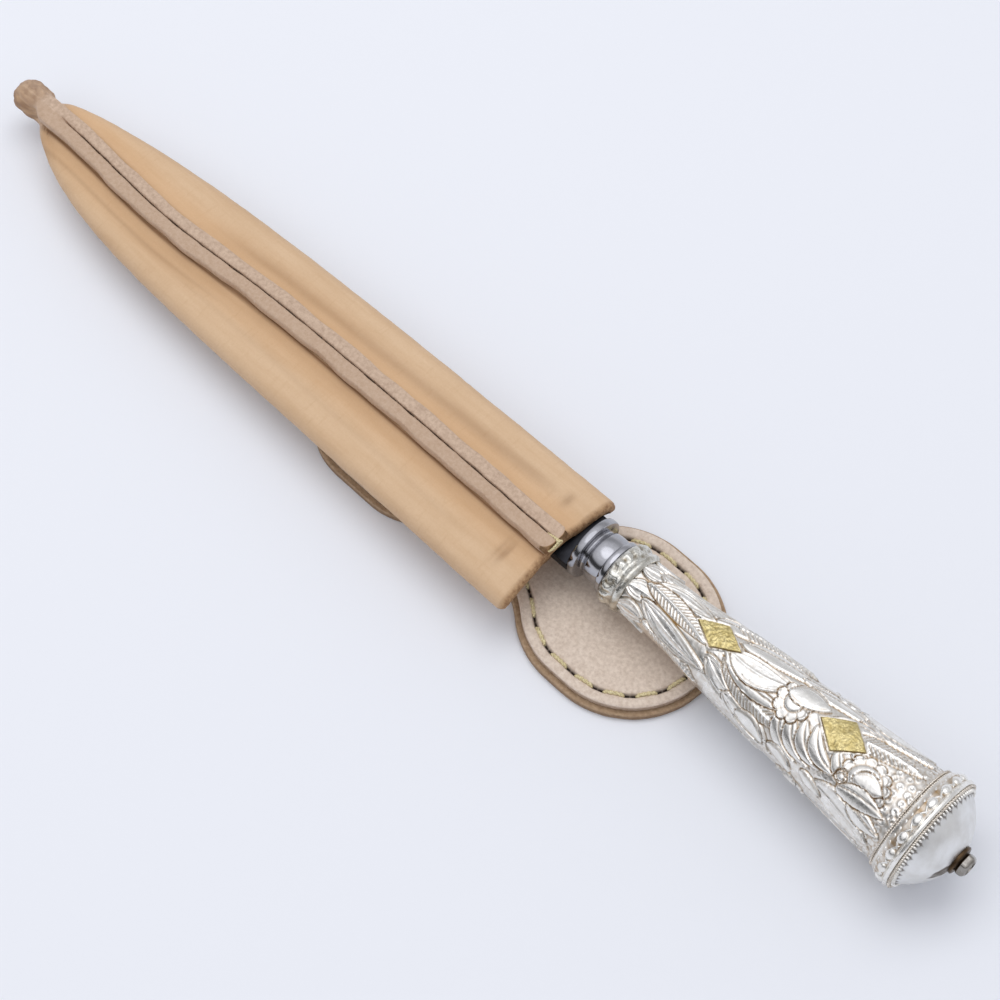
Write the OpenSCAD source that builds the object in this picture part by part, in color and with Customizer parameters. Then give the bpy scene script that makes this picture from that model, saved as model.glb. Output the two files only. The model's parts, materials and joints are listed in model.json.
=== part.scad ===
// Sheath knife: a silver-handled belt knife in a leather sheath with a two-lobed belt tab.
// Knife frame: X runs along the blade towards the pommel, Y towards the blade's spine, Z up.
// Its zero is the sheath's mouth, on the middle plane of the blade. The knife and its sheath are
// then laid on a table, where the tab lies flat and the pommel collar touches.

/* [Sheath] */
// Length of leather that the sheath has past the blade's tip
tip_room = 11.6; // [10:0.1:20]
// Half width at the mouth on the spine side
mouth_up = 22.1; // [21.8:0.1:24]
// Half width at the mouth on the edge side
mouth_low = 21.8; // [21.2:0.1:23.5]
// Thickness of the sheath leather
wall = 2.6; // [2.2:0.1:2.9]
// Height of the seam ridge above the blade's middle plane at the mouth
crown = 6.5; // [6:0.1:8]
// Depth of the front wall below the blade's middle plane at the mouth
belly = 7.2; // [6.2:0.1:7.8]
// How far the middle of the mouth is cut back
mouth_cut = 1.4; // [0:0.1:3]
// How much farther the middle of the front wall is cut back, under the blade
front_cut = 3; // [0:0.1:4]

/* [Seam flange] */
// Half width of the two leather edges that are turned out and pressed flat
flange_half = 4.7; // [4.2:0.1:5.4]
// Thickness of the turned edges
flange_t = 2.6; // [2:0.1:3]
// How far the seam line bows towards the edge side in the narrower part of the sheath
seam_bow = 2.6; // [0:0.1:3]
// Width of the open joint between the two edges
joint_w = 0.9; // [0.7:0.05:1.2]
// Depth of the open joint
joint_depth = 1.6; // [1.2:0.1:2]
// Length of the rounded end knob past the leather point
knob_reach = 11.5; // [9:0.5:13]
// Half width of the end knob
knob_half = 5.3; // [4.5:0.1:6]

/* [Knife] */
// Length of the blade from the guard disc to the tip
blade_len = 205; // [180:1:205]
// Thickness of the blade at the spine
blade_t = 3.2; // [2.6:0.1:3.2]
// Offset of the handle's axis from the middle of the sheath
axis_y = 8.6; // [8:0.1:9]
// Gap between the sheath's mouth and the guard disc
guard_gap = 2.6; // [2:0.1:6]
// Radius of the guard disc
guard_r = 9.3; // [8.6:0.1:9.4]
// Length of the steel bolster
bolster_len = 10.6; // [10:0.1:14]
// Length of the silver neck ferrule
ferrule_len = 6.8; // [5:0.1:8]
// Length of the silver handle shell
shell_len = 101; // [92:1:112]
// Thickness of the silver sheet
sheet_t = 0.9; // [0.6:0.1:1.2]

/* [Pommel] */
// Radius of the handle shell where it meets the collar
shell_end_r = 14.6; // [13:0.1:15.5]
// How far the pommel collar stands out from the handle shell
collar_out = 2.4; // [2.2:0.1:3.4]
// Width of the collar between its rim and the dome
collar_wall = 1.8; // [1.7:0.1:2.2]
// Length of the pommel collar
collar_len = 4.6; // [4.4:0.1:6.5]
// Height of the dome above the collar
dome_rise = 8.9; // [8:0.1:10.5]
// Number of oval beads round the collar
bead_count = 18; // [12:1:24]
// Width of the faceted end nut across its corners
nut_w = 6; // [5:0.1:7]
// Length of the end nut
nut_len = 2.6; // [2.4:0.1:4]

/* [Belt tab] */
// Thickness of each of the two leaves
leaf_t = 2.4; // [2:0.1:3]
// Distance of the upper lobe's centre past the mouth
upper_x = 19.6; // [14:0.1:22]
// Distance of the lower lobe's centre from the mouth
lower_x = 60.5; // [55:0.1:70]
// Sideways offset of the tab from the middle of the sheath
tab_y = 3.8; // [2:0.1:5]
// Half width of the upper lobe
upper_r = 26.4; // [24:0.1:28]
// Half length that the upper lobe has beyond its half width
upper_flat = 3; // [1:0.1:5]
// Half width of the lower lobe
lower_r = 23; // [20:0.1:24]
// Half length that the lower lobe has beyond its half width
lower_flat = 6.5; // [3:0.1:8]
// Radius of the hollow curve at each side of the waist
waist_r = 32; // [28:1:40]
// Distance of the stitch line from the rim
stitch_inset = 4; // [3.4:0.1:5]
// Length of a stitch and the gap that follows it
stitch_pitch = 8.6; // [7:0.1:10]
// Share of the pitch that the visible stitch takes
stitch_share = 0.7; // [0.5:0.05:0.8]
// Diameter of the waxed thread
thread_d = 1.1; // [0.8:0.05:1.3]

/* [Ornament] */
// Length of a gold lozenge along the handle
lozenge_len = 14.5; // [12:0.1:18]
// Width of the lozenge near the neck
lozenge_w_neck = 7.9; // [7:0.1:10]
// Width of the lozenge near the pommel
lozenge_w_pommel = 10.6; // [9:0.1:12]
// Thickness of the gold plate
gold_t = 0.6; // [0.4:0.1:1]
// Place of the lozenges near the neck, as a share of the handle shell's length
neck_share = 0.34; // [0.3:0.005:0.4]
// Place of the lozenges near the pommel, as a share of the handle shell's length
pommel_share = 0.745; // [0.7:0.005:0.82]

/* [Hidden] */
$fn = 96;
// Clearance between pieces of the knife that are pushed together
fit_gap = 0.05;
// Clearance between the guard disc and the tab that it hangs over
rest_gap = 0.9;
// Room inside the leather beside the blade's spine and beside its edge
spine_room = 2.4;
edge_room = 2.4;
tip_y = 2.6;
blade_tip_s = blade_len - guard_gap;
sheath_len = blade_tip_s + tip_room;
neck_r = 7.9;
tang_w = 6;
tang_t = 3;
stud_r = 2;
point_up = 5;
point_low = 1;
side_taper = 0.012;
fold_up = 4.6;
fold_low = 3.4;
fold_up_tip = 3.4;
fold_low_tip = 2.9;
low_z = -0.4;
rim_step = 0.4;
anchor_s = 10;
anchor_inner = 3.5;
anchor_outer = 9.5;
crown_tip = 4.4;
belly_tip = 3.7;
root_half = 1.5;
mouth_len = 20;
channel_depth = 0.9;
channel_y = 8.2;
channel_w = 3.2;
cavity_end = sheath_len - 8;
joint_end = sheath_len - 14;
knob_start = sheath_len - 6;
knob_y = 1.5;
knob_z = 1.1;
knob_thick = 4.4;

bolster_x = guard_gap;
ferrule_x = bolster_x + bolster_len + 0.2;
shell_x = ferrule_x;
collar_x = shell_x + shell_len;
dome_x = collar_x + collar_len + 0.4;
apex_x = dome_x + dome_rise;
collar_r = shell_end_r + collar_out;
dome_r = collar_r - collar_wall;
dome_sphere_r = (dome_r * dome_r + dome_rise * dome_rise) / (2 * dome_rise);
dome_seat = 1.5;
stud_lead = collar_len - 0.1;
rim_len = 1.2;
wire_r = 0.45;
washer_r = 4.2;
washer_t = 0.8;
nut_x = apex_x + washer_t;
knife_end = nut_x + nut_len;
stud_end = knife_end - 1.2;
knob_end = sheath_len + knob_reach;
heel_s = 6;
grind_len = 5;
edge_half = 0.15;

// The handle's axis rises towards the pommel, so that the collar and the tab both touch the table
touch_x = collar_x + collar_len - rim_len;
rise_x = touch_x - bolster_x;
rise_z = collar_r - guard_r;
tilt = atan2(rise_z, rise_x) - asin((2 * leaf_t + rest_gap) / norm([rise_x, rise_z]));
lift = collar_r * cos(tilt) - touch_x * sin(tilt);
lower_end = lower_x + lower_flat + lower_r;
box_low = [-knob_end * cos(tilt) - knob_z * sin(tilt), tab_y - upper_r];
box_high = [knife_end * cos(tilt) + nut_w / 2 * sin(tilt), tab_y + upper_r];
middle = (box_low + box_high) / 2;

function mix(a, b, t) = a + (b - a) * t;
function clamp(t) = min(1, max(0, t));
function ease(t) = let (c = clamp(t)) c * c * (3 - 2 * c);
function steps(a, b, n) = [for (i = [0:n]) mix(a, b, i / n)];

// Lays a piece of the knife frame on the table, with the box's middle at the origin
module lay() {
    translate([-middle.x, -middle.y, lift]) rotate([0, -tilt, 0]) children();
}

// Places a piece of the tab, which is drawn flat with the table at zero
module lay_flat() {
    translate([-middle.x, -middle.y, 0]) children();
}
function laid(p) = [p.x * cos(tilt) - p.z * sin(tilt), p.y, p.x * sin(tilt) + p.z * cos(tilt) + lift];

// Turns a solid of revolution from Z to the handle's axis
module on_axis() {
    translate([0, axis_y, 0]) rotate([0, 90, 0]) rotate([0, 0, 180]) children();
}

// Sheath outline: distance of each side from the middle, s being the distance from the mouth
function along(s) = clamp(s / sheath_len);
function side_up(s) = point_up + (mouth_up - point_up - side_taper * s) * pow(1 - pow(along(s), 4), 0.64);
function side_low(s) = point_low + (mouth_low - point_low - side_taper * s) * pow(1 - pow(along(s), 8), 0.85);
function seam_y(s) = 0.5 * ease(s / 60) - seam_bow * exp(-pow((s - 0.72 * sheath_len) / 32, 2));
function crown_z(s) = mix(crown, crown_tip, pow(along(s), 1.5));
function belly_z(s) = mix(belly, belly_tip, pow(along(s), 1.5));
function fold_r_up(s) = mix(fold_up, fold_up_tip, pow(along(s), 2));
function fold_r_low(s) = mix(fold_low, fold_low_tip, pow(along(s), 2));
function channel(s, y) =
    channel_depth * (1 - ease((s - 130) / 60)) * exp(-pow((abs(y - seam_y(s)) - channel_y) / channel_w, 2));

// Height of the front wall's outer face at a place across the sheath
function front_z(s, y) =
    let (
        ru = fold_r_up(s),
        rl = fold_r_low(s),
        t = clamp((side_up(s) - ru - y) / (side_up(s) - ru + side_low(s) - rl))
    )
    mix(-ru, low_z - rl, t) - (belly_z(s) - (ru + rl - low_z) / 2) * sin(180 * t);

// Section of the leather body from the seam's spine side, round the front, to its edge side.
// The inset moves it inwards, for the hollow.
function body_section(s, inset) =
    let (
        ru = fold_r_up(s) - inset,
        rl = fold_r_low(s) - inset,
        yu = side_up(s) - fold_r_up(s),
        yl = -side_low(s) + fold_r_low(s),
        top = crown_z(s) - inset,
        root_up = seam_y(s) + min(root_half, yu * 0.5),
        root_low = seam_y(s) - min(root_half, -yl * 0.5)
    )
    concat(
        [for (t = steps(0, 1, 7)) let (y = mix(root_up, yu, t)) [y, mix(top, ru, t) - channel(s, y)]],
        [for (a = steps(72, -78, 6)) [yu + ru * cos(a), ru * sin(a)]],
        [for (t = steps(0, 1, 7))
            let (y = mix(yu, yl, t)) [y, front_z(s, y) + inset]],
        [for (a = steps(258, 108, 6)) [yl + rl * cos(a), low_z + rl * sin(a)]],
        [for (t = steps(0, 1, 7)) let (y = mix(yl, root_low, t)) [y, mix(low_z + rl, top, t) - channel(s, y)]]
    );

// Section of the turned edges, from the edge side over the top to the spine side
function flange_section(s) =
    let (
        y0 = seam_y(s),
        z0 = crown_z(s),
        open = 1 - ease((s - joint_end) / 5),
        half_low = flange_half + 0.2 * sin(11 * s) + 0.15 * sin(23 * s + 40),
        half_up = flange_half - 0.2 - 0.7 * along(s) + 0.2 * sin(13 * s + 90),
        under = 0.1 - 0.5 * (1 - along(s)),
        profile = [[0.93, under + 0.15], [1, under + 0.7], [1, under + flange_t - 0.9],
            [0.86, under + flange_t - 0.1], [0.5, flange_t - 0.05]]
    )
    concat(
        [for (p = profile) [y0 - half_low * p[0], z0 + p[1]]],
        [[y0 - joint_w / 2 - 0.5, z0 + flange_t - 0.05], [y0 - joint_w / 2, z0 + flange_t - 0.5 * open],
            [y0 - joint_w / 2 + 0.05, z0 + flange_t - joint_depth * open],
            [y0 + joint_w / 2 - 0.05, z0 + flange_t - joint_depth * open],
            [y0 + joint_w / 2, z0 + flange_t - 0.5 * open], [y0 + joint_w / 2 + 0.5, z0 + flange_t - 0.05]],
        [for (i = [4:-1:0]) let (p = profile[i]) [y0 + half_up * p[0], z0 + p[1]]]
    );

// Section of the end knob, as a rounded bar with the same number of points
function knob_section(s, count, lead) =
    let (
        narrow = sqrt(1 - pow(max(0, s - knob_end + knob_half) / knob_half, 2))
    )
    [for (i = [0:count - 1]) let (a = 90 - 360 * (i + lead) / count)
        [knob_y + knob_half * narrow * cos(a), knob_z + knob_thick * narrow * sin(a)]];

function outer_section(s) =
    let (
        leather = concat(body_section(min(s, sheath_len - 2), 0), flange_section(s)),
        knob = knob_section(s, len(leather), 8),
        t = ease((s - knob_start) / 9)
    )
    [for (i = [0:len(leather) - 1]) mix(leather[i], knob[i], t)];

// The mouth is cut back a little in the middle, flat across the flange, and more on the front wall
function mouth_shift(s, p) =
    (mouth_cut * (1 - clamp((abs(p.x) - flange_half - 1) / (mouth_low - flange_half - 1)))
        + front_cut * clamp(-p.y / 4)) * (1 - clamp(s / mouth_len));
function ring(s, section) = [for (p = section) [-s - mouth_shift(s, p), p.x, p.y]];
function fan(first, count) = [for (i = [0:count - 1]) first + i];
function backwards(list) = [for (i = [len(list) - 1:-1:0]) list[i]];
function skin(a, b, count, flip) =
    [for (i = [0:count - 1]) let (j = (i + 1) % count)
        flip ? [a + i, b + i, b + j, a + j] : [a + i, a + j, b + j, b + i]];
// Triangles from a ring of points to one apex
function cone(first, count, apex, flip) =
    [for (i = [0:count - 1]) let (j = (i + 1) % count)
        flip ? [first + j, first + i, apex] : [first + i, first + j, apex]];

module sheath_leather() {
    outer_s = concat(steps(0, mouth_len, 3), steps(mouth_len + 8, knob_start - 10, 18),
        steps(knob_start - 4, knob_end - 4, 8), [knob_end - 2.4, knob_end - 1, knob_end - 0.25]);
    inner_s = concat(steps(0, mouth_len, 2), steps(mouth_len + 16, cavity_end - 8, 14), [cavity_end]);
    body_n = len(body_section(0, 0));
    ring_n = len(outer_section(0));
    inner_0 = ring_n * len(outer_s);
    outer_points = [for (s = outer_s) each ring(s, outer_section(s))];
    inner_points = [for (s = inner_s) each ring(s, body_section(s, wall))];
    outer_faces = [for (k = [0:len(outer_s) - 2]) each skin(k * ring_n, (k + 1) * ring_n, ring_n, true)];
    inner_faces = [for (k = [0:len(inner_s) - 2])
        each skin(inner_0 + k * body_n, inner_0 + (k + 1) * body_n, body_n, false)];
    mouth_faces = [for (i = [0:body_n - 1]) let (j = (i + 1) % body_n)
        [i, j, inner_0 + j, inner_0 + i]];
    flange_end = concat([0], [body_n - 1], fan(body_n, ring_n - body_n));
    apexes = [
        [-knob_end, knob_y, knob_z],
        [-cavity_end - 1, (side_up(cavity_end) - side_low(cavity_end)) / 2, knob_z]
    ];
    apex_0 = inner_0 + len(inner_points);
    tip_end = cone(inner_0 - ring_n, ring_n, apex_0, true);
    inner_end = cone(apex_0 - body_n, body_n, apex_0 + 1, false);
    polyhedron(
        concat(outer_points, inner_points, apexes),
        concat(outer_faces, inner_faces, mouth_faces, [flange_end], tip_end, inner_end),
        convexity = 8
    );
}

module sheath_body() {
    color("burlywood") lay() sheath_leather();
}

// Running stitches that lie in the open joint of the seam
module seam_thread() {
    thread_r = 0.3;
    pitch = 5.2;
    span = 3.8;
    first = 4;
    last = joint_end - span - 2;
    function joint_floor(s) = [-s, seam_y(s), crown_z(s) + flange_t - joint_depth + thread_r + fit_gap];
    color("saddlebrown") lay() for (s = [first:pitch:last]) rod(joint_floor(s), joint_floor(s + span), thread_r);
}

// A straight round rod between two points
module rod(a, b, r) {
    d = b - a;
    length = norm(d);
    translate(a) rotate([0, acos(d.z / length), atan2(d.y, d.x)]) cylinder(r = r, h = length, $fn = 24);
}

// The knotted end of the seam thread, in front of the joint at the mouth
module seam_knot() {
    knot_r = 0.9;
    color("darkkhaki") lay()
        translate([-mouth_cut + fit_gap, seam_y(0), crown + flange_t - 1.1]) {
            rotate([0, 90, 0]) cylinder(r = 0.5, h = 0.9, $fn = 24);
            for (side = [-1, 1]) translate([knot_r, side * 0.55, 0])
                rotate([side * 20, 0, 0]) rotate_extrude($fn = 32) translate([0.45, 0]) circle(r = 0.42, $fn = 16);
        }
}

function blade_spine(s) =
    tip_y + (mouth_up - wall - spine_room - tip_y) * pow(1 - pow(clamp(s / blade_tip_s), 4), 0.64);
function blade_edge(s) =
    tip_y - (mouth_low - wall - edge_room + tip_y) * pow(1 - pow(clamp(s / blade_tip_s), 6), 0.8);
function spine_half(s) = mix(blade_t / 2, blade_t / 5, pow(clamp(s / blade_tip_s), 1.2));

// One section of the blade: squared at the heel, ground to an edge past it
function blade_section(s) =
    let (
        top = blade_spine(s),
        heel_low = axis_y - guard_r,
        low = mix(heel_low, blade_edge(s), ease((s - heel_s) / grind_len)),
        h = spine_half(s),
        e = mix(h, edge_half, ease((s - heel_s) / grind_len)),
        drop = min(0.5, (top - low) / 4)
    )
    [[top, h * 0.8], [top, -h * 0.8], [top - drop, -h], [low + drop * 0.2, -e], [low, -e * 0.6],
        [low, e * 0.6], [low + drop * 0.2, e], [top - drop, h]];

module blade() {
    s_list = concat([-guard_gap, 2], steps(heel_s, heel_s + 16, 10), steps(heel_s + 26, blade_tip_s - 24, 9),
        steps(blade_tip_s - 18, blade_tip_s - 2, 6), [blade_tip_s - 0.8, blade_tip_s - 0.2]);
    n = 8;
    points = [for (s = s_list) for (p = blade_section(s)) [-s, p.x, p.y]];
    faces = concat(
        [for (k = [0:len(s_list) - 2]) each skin(k * n, (k + 1) * n, n, true)],
        [fan(0, n)],
        [backwards(fan((len(s_list) - 1) * n, n))]
    );
    color("lightslategray") lay() union() {
        polyhedron(points, faces);
        translate([bolster_x - 0.6, axis_y - tang_w / 2, -tang_t / 2])
            cube([dome_x - bolster_x, tang_w, tang_t]);
        translate([dome_x - stud_lead, axis_y, 0]) rotate([0, 90, 0])
            cylinder(r = stud_r, h = stud_end - dome_x + stud_lead);
    }
}

// The slot that the tang fills
module tang_slot(x0, x1) {
    translate([x0, axis_y - tang_w / 2 - fit_gap, -tang_t / 2 - fit_gap])
        cube([x1 - x0, tang_w + 2 * fit_gap, tang_t + 2 * fit_gap]);
}

// Turned steel bolster: guard disc, hollow, barrel and end ring
module bolster() {
    disc_t = 2.2;
    hollow_r = 6.4;
    barrel_r = 7.4;
    ring_r = 8.1;
    ring_t = 1.9;
    barrel_0 = disc_t + 1.4;
    barrel_1 = bolster_len - ring_t;
    profile = concat(
        [[0, 0], [guard_r - 0.4, 0], [guard_r, 0.4], [guard_r, disc_t - 0.5], [guard_r - 0.5, disc_t]],
        [[hollow_r + 0.3, disc_t + 0.2], [hollow_r, disc_t + 0.7], [hollow_r + 0.2, barrel_0]],
        [for (a = steps(0, 180, 8)) [hollow_r + 0.4 + (barrel_r - hollow_r - 0.4) * sin(a),
            mix(barrel_0, barrel_1, (1 - cos(a)) / 2)]],
        [[ring_r - 0.4, barrel_1 + 0.1], [ring_r, barrel_1 + 0.5], [ring_r, bolster_len - 0.4],
            [ring_r - 0.4, bolster_len], [0, bolster_len]]
    );
    color("silver") lay() difference() {
        on_axis() translate([0, 0, bolster_x]) rotate_extrude() polygon(profile);
        tang_slot(bolster_x - 1, bolster_x + bolster_len + 1);
    }
}

// Silver ferrule round the neck of the handle
module neck_ferrule() {
    inner = swell(ferrule_len / shell_len) + fit_gap;
    profile = [[inner, 0], [inner + 0.5, 0], [inner + 1, 0.5], [inner + 1.2, 1.5],
        [inner + 0.9, ferrule_len * 0.55], [inner + 1.3, ferrule_len * 0.7],
        [inner + 1.3, ferrule_len * 0.85], [inner + 0.7, ferrule_len], [inner, ferrule_len]];
    color("gainsboro") lay() on_axis() translate([0, 0, ferrule_x]) rotate_extrude() polygon(profile);
}

// Handle radius at a share t of the shell's length: a slim neck that swells towards the pommel
function swell(t) = neck_r + (shell_end_r - neck_r) * (0.86 * pow(t, 1.35) + 0.14 * ease((t - 0.22) / 0.14));
function shell_line(inset) = [for (t = steps(0, 1, 24)) [swell(t) - inset, shell_x + t * shell_len]];

module handle_shell() {
    inner = shell_line(sheet_t);
    color("gainsboro") lay() on_axis() rotate_extrude()
        polygon(concat(shell_line(0), backwards(inner)));
}

// Hard filler that the silver sheet is worked over, with the slot for the tang
module handle_core() {
    line = shell_line(sheet_t + fit_gap);
    color("saddlebrown") lay() difference() {
        on_axis() rotate_extrude() polygon(concat([[0, shell_x]], line, [[0, collar_x]]));
        tang_slot(shell_x - 1, collar_x + 1);
    }
}

// A thin gold plate bent to the handle's surface, on the back or the front
module lozenge(share, width, side) {
    x = shell_x + share * shell_len;
    color("gold") lay() intersection() {
        translate([x, axis_y, 0]) scale([1, 1, side]) linear_extrude(30)
            polygon([[-lozenge_len / 2, 0], [0, -width / 2], [lozenge_len / 2, 0], [0, width / 2]]);
        on_axis() rotate_extrude()
            polygon(concat(shell_line(-fit_gap), backwards(shell_line(-gold_t))));
    }
}
module lozenge_neck_back() { lozenge(neck_share, lozenge_w_neck, 1); }
module lozenge_pommel_back() { lozenge(pommel_share, lozenge_w_pommel, 1); }
module lozenge_neck_front() { lozenge(neck_share, lozenge_w_neck, -1); }
module lozenge_pommel_front() { lozenge(pommel_share, lozenge_w_pommel, -1); }

// Collar that joins the shell to the dome, with raised beads between its two wires
module pommel_collar() {
    band_r = collar_r - 0.8;
    bead_r = 1.5;
    profile = [[shell_end_r + fit_gap, -1], [shell_end_r + 1, -1], [band_r, 0.6],
        [band_r, collar_len - rim_len - 0.3], [collar_r, collar_len - rim_len], [collar_r, collar_len - 0.4],
        [collar_r - 0.4, collar_len], [dome_r + fit_gap, collar_len], [dome_r + fit_gap, dome_seat],
        [shell_end_r - 2, dome_seat], [shell_end_r - 2, fit_gap], [shell_end_r + fit_gap, fit_gap]];
    color("gainsboro") lay() on_axis() translate([0, 0, collar_x]) union() {
        rotate_extrude() polygon(profile);
        difference() {
            for (i = [0:bead_count - 1]) rotate([0, 0, i * 360 / bead_count])
                translate([band_r - bead_r + 0.6, 0, collar_len * 0.42]) sphere(r = bead_r, $fn = 24);
            cylinder(r = band_r - 0.3, h = collar_len);
        }
    }
}

module wire_ring(x, ring_r) {
    lay() on_axis() translate([0, 0, x]) rotate_extrude() translate([ring_r, 0]) circle(r = wire_r, $fn = 24);
}
module collar_wire_front() {
    color("khaki") wire_ring(collar_x - 1 - wire_r - fit_gap, shell_end_r + wire_r + fit_gap);
}
module collar_wire_rear() {
    color("khaki") wire_ring(collar_x + collar_len + wire_r + fit_gap, collar_r - wire_r - 0.2);
}

// Hollow silver dome with a straight skirt inside the collar
function cap_line(sphere_r, base_r) =
    let (a1 = asin(base_r / sphere_r), a0 = asin((stud_r + fit_gap) / sphere_r))
    [for (a = steps(a1, a0, 12)) [sphere_r * sin(a), apex_x - dome_sphere_r + sphere_r * cos(a)]];
module pommel_dome() {
    skirt_x = collar_x + dome_seat + fit_gap;
    thick = 1.2;
    inside = cap_line(dome_sphere_r - thick, dome_r - thick);
    profile = concat([[dome_r, skirt_x]], cap_line(dome_sphere_r, dome_r),
        backwards(inside), [[dome_r - thick, skirt_x]]);
    color("whitesmoke") lay() on_axis() rotate_extrude() polygon(profile);
}

// Narrow bezel that holds the dome's foot
module dome_bezel() {
    x0 = collar_x + collar_len + fit_gap;
    profile = [[dome_r + fit_gap, x0], [dome_r + 0.6, x0], [dome_r + 0.5, x0 + 0.6], [dome_r + fit_gap, x0 + 1.1]];
    color("silver") lay() on_axis() rotate_extrude() polygon(profile);
}

// Washer with a dished underside that sits on the dome
module finial_washer() {
    under = [for (r = steps(stud_r + fit_gap, washer_r - 0.1, 4))
        [r, sqrt(pow(dome_sphere_r + fit_gap, 2) - r * r) - dome_sphere_r]];
    top = [[washer_r, 0.2], [washer_r - 0.3, washer_t * 0.6], [nut_w / 2 - 0.2, washer_t],
        [stud_r + fit_gap, washer_t]];
    color("rosybrown") lay() on_axis() translate([0, 0, apex_x]) rotate_extrude() polygon(concat(under, top));
}

// Faceted nut that draws the whole handle together on the tang
module finial_nut() {
    color("silver") lay() on_axis() translate([0, 0, nut_x + fit_gap]) difference() {
        intersection() {
            cylinder(r = nut_w / 2, h = nut_len, $fn = 8);
            translate([0, 0, nut_len * 0.3]) sphere(r = nut_w * 0.58);
        }
        translate([0, 0, -1]) cylinder(r = stud_r + fit_gap, h = stud_end - nut_x + 1);
    }
}

// Rim of the tab on one side: two round lobes joined by a waist, drawn at a distance inside the rim.
// Each stretch is [centre, radius, first angle, last angle], and a straight one is [start, end].
function turn(r, a) = [r * cos(a), r * sin(a)];
centre_up = [upper_x - upper_flat, 0];
centre_low = [-lower_x + lower_flat, 0];
waist_span = centre_up.x - centre_low.x;
reach_low = lower_r + waist_r;
reach_up = upper_r + waist_r;
waist_dx = (waist_span * waist_span + reach_low * reach_low - reach_up * reach_up) / (2 * waist_span);
waist_c = [centre_low.x + waist_dx, sqrt(reach_low * reach_low - waist_dx * waist_dx)];
angle_up = atan2(waist_c.y, waist_c.x - centre_up.x);
angle_low = atan2(waist_c.y, waist_c.x - centre_low.x);
function tab_line(inset) =
    let (ru = upper_r - inset, rl = lower_r - inset)
    [
        [[upper_x + upper_flat, 0], ru, 0, 90],
        [[upper_x + upper_flat, ru], [upper_x - upper_flat, ru]],
        [centre_up, ru, 90, angle_up],
        [waist_c, waist_r + inset, angle_up - 180, angle_low - 180],
        [centre_low, rl, angle_low, 90],
        [[-lower_x + lower_flat, rl], [-lower_x - lower_flat, rl]],
        [[-lower_x - lower_flat, 0], rl, 90, 180],
    ];
function stretch_len(g) = len(g) == 2 ? norm(g[1] - g[0]) : abs(g[3] - g[2]) * PI / 180 * g[1];
function stretch_at(g, t) = len(g) == 2 ? mix(g[0], g[1], t) : g[0] + turn(g[1], mix(g[2], g[3], t));

// Points of one side, without the two that lie on the middle line
function half_outline(inset) =
    let (line = tab_line(inset))
    [for (k = [0:len(line) - 1])
        let (count = len(line[k]) == 2 ? 1 : ceil(abs(line[k][3] - line[k][2]) / 6))
        for (i = [(k == 0 ? 1 : 0):count - 1]) stretch_at(line[k], i / count)];
module tab_outline(inset) {
    half = half_outline(inset);
    ends = [[upper_x + upper_flat + upper_r - inset, 0], [-lower_end + inset, 0]];
    translate([0, tab_y])
        polygon(concat([ends[0]], half, [ends[1]], [for (p = backwards(half)) [p.x, -p.y]]));
}

groove_w = thread_d + 0.3;
groove_top = 0.8 * thread_d;
groove_bottom = thread_d + 0.15;
module tab_groove() {
    difference() {
        tab_outline(stitch_inset - groove_w / 2);
        tab_outline(stitch_inset + groove_w / 2);
    }
}
module tab_inner_leaf() {
    color("tan") lay_flat() translate([0, 0, leaf_t]) difference() {
        linear_extrude(leaf_t) tab_outline(rim_step);
        translate([0, 0, leaf_t - groove_top]) linear_extrude(leaf_t) tab_groove();
    }
}
module tab_outer_leaf() {
    color("peru") lay_flat() difference() {
        linear_extrude(leaf_t) tab_outline(0);
        translate([0, 0, groove_bottom - leaf_t]) linear_extrude(leaf_t) tab_groove();
    }
}

// Stitch line on one side of the tab, from the upper lobe's end to the lower lobe's end
stitch_line = tab_line(stitch_inset);
function line_at(d, k = 0) =
    let (l = stretch_len(stitch_line[k]))
    d <= l || k == len(stitch_line) - 1 ? stretch_at(stitch_line[k], d / l) : line_at(d - l, k + 1);
function line_len(k = 0) = k == len(stitch_line) ? 0 : stretch_len(stitch_line[k]) + line_len(k + 1);

stitch_count = floor(line_len() / stitch_pitch);
stitch_step = line_len() / stitch_count;
thread_top = 2 * leaf_t - groove_top + thread_d / 2;
thread_low = groove_bottom - thread_d / 2;

// A rod that overlaps what it meets by a quarter of its width, so that the thread is one piece
module thread_run(a, b) {
    grow = (b - a) / norm(b - a) * thread_d / 4;
    rod(a - grow, b + grow, thread_d / 2);
}

// One running stitch on one side: the long run on the inner leaf, its two holes, and the short
// run under the outer leaf to the next stitch, or across to the other side at a lobe's end
module stitch(k, side, is_last) {
    first = (k + (1 - stitch_share) / 2) * stitch_step;
    a = line_at(first);
    b = line_at(first + stitch_share * stitch_step);
    module run(p, q, z) { thread_run([p.x, side * p.y, z], [q.x, side * q.y, z]); }
    run(a, b, thread_top);
    if (!is_last) run(b, line_at(first + stitch_step), thread_low);
    if (k == 0) run(a, [a.x, -a.y], thread_low);
    if (k == stitch_count - 1) run(b, [b.x, -b.y], thread_low);
    for (p = [a, b]) rod([p.x, side * p.y, thread_low], [p.x, side * p.y, thread_top], thread_d * 0.4);
}

// The waist lies between two stitches, and each lobe has its own thread
waist_k = round((stretch_len(stitch_line[0]) + stretch_len(stitch_line[1]) + stretch_len(stitch_line[2])
    + stretch_len(stitch_line[3]) / 2) / stitch_step);
module stitches(k0, k1) {
    for (side = [-1, 1], k = [k0:k1]) stitch(k, side, k == k1);
}
module upper_lobe_stitches() {
    color("darkkhaki") lay_flat() translate([0, tab_y]) stitches(0, waist_k - 1);
}
module lower_lobe_stitches() {
    color("darkkhaki") lay_flat() translate([0, tab_y]) stitches(waist_k, stitch_count - 1);
}

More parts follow.
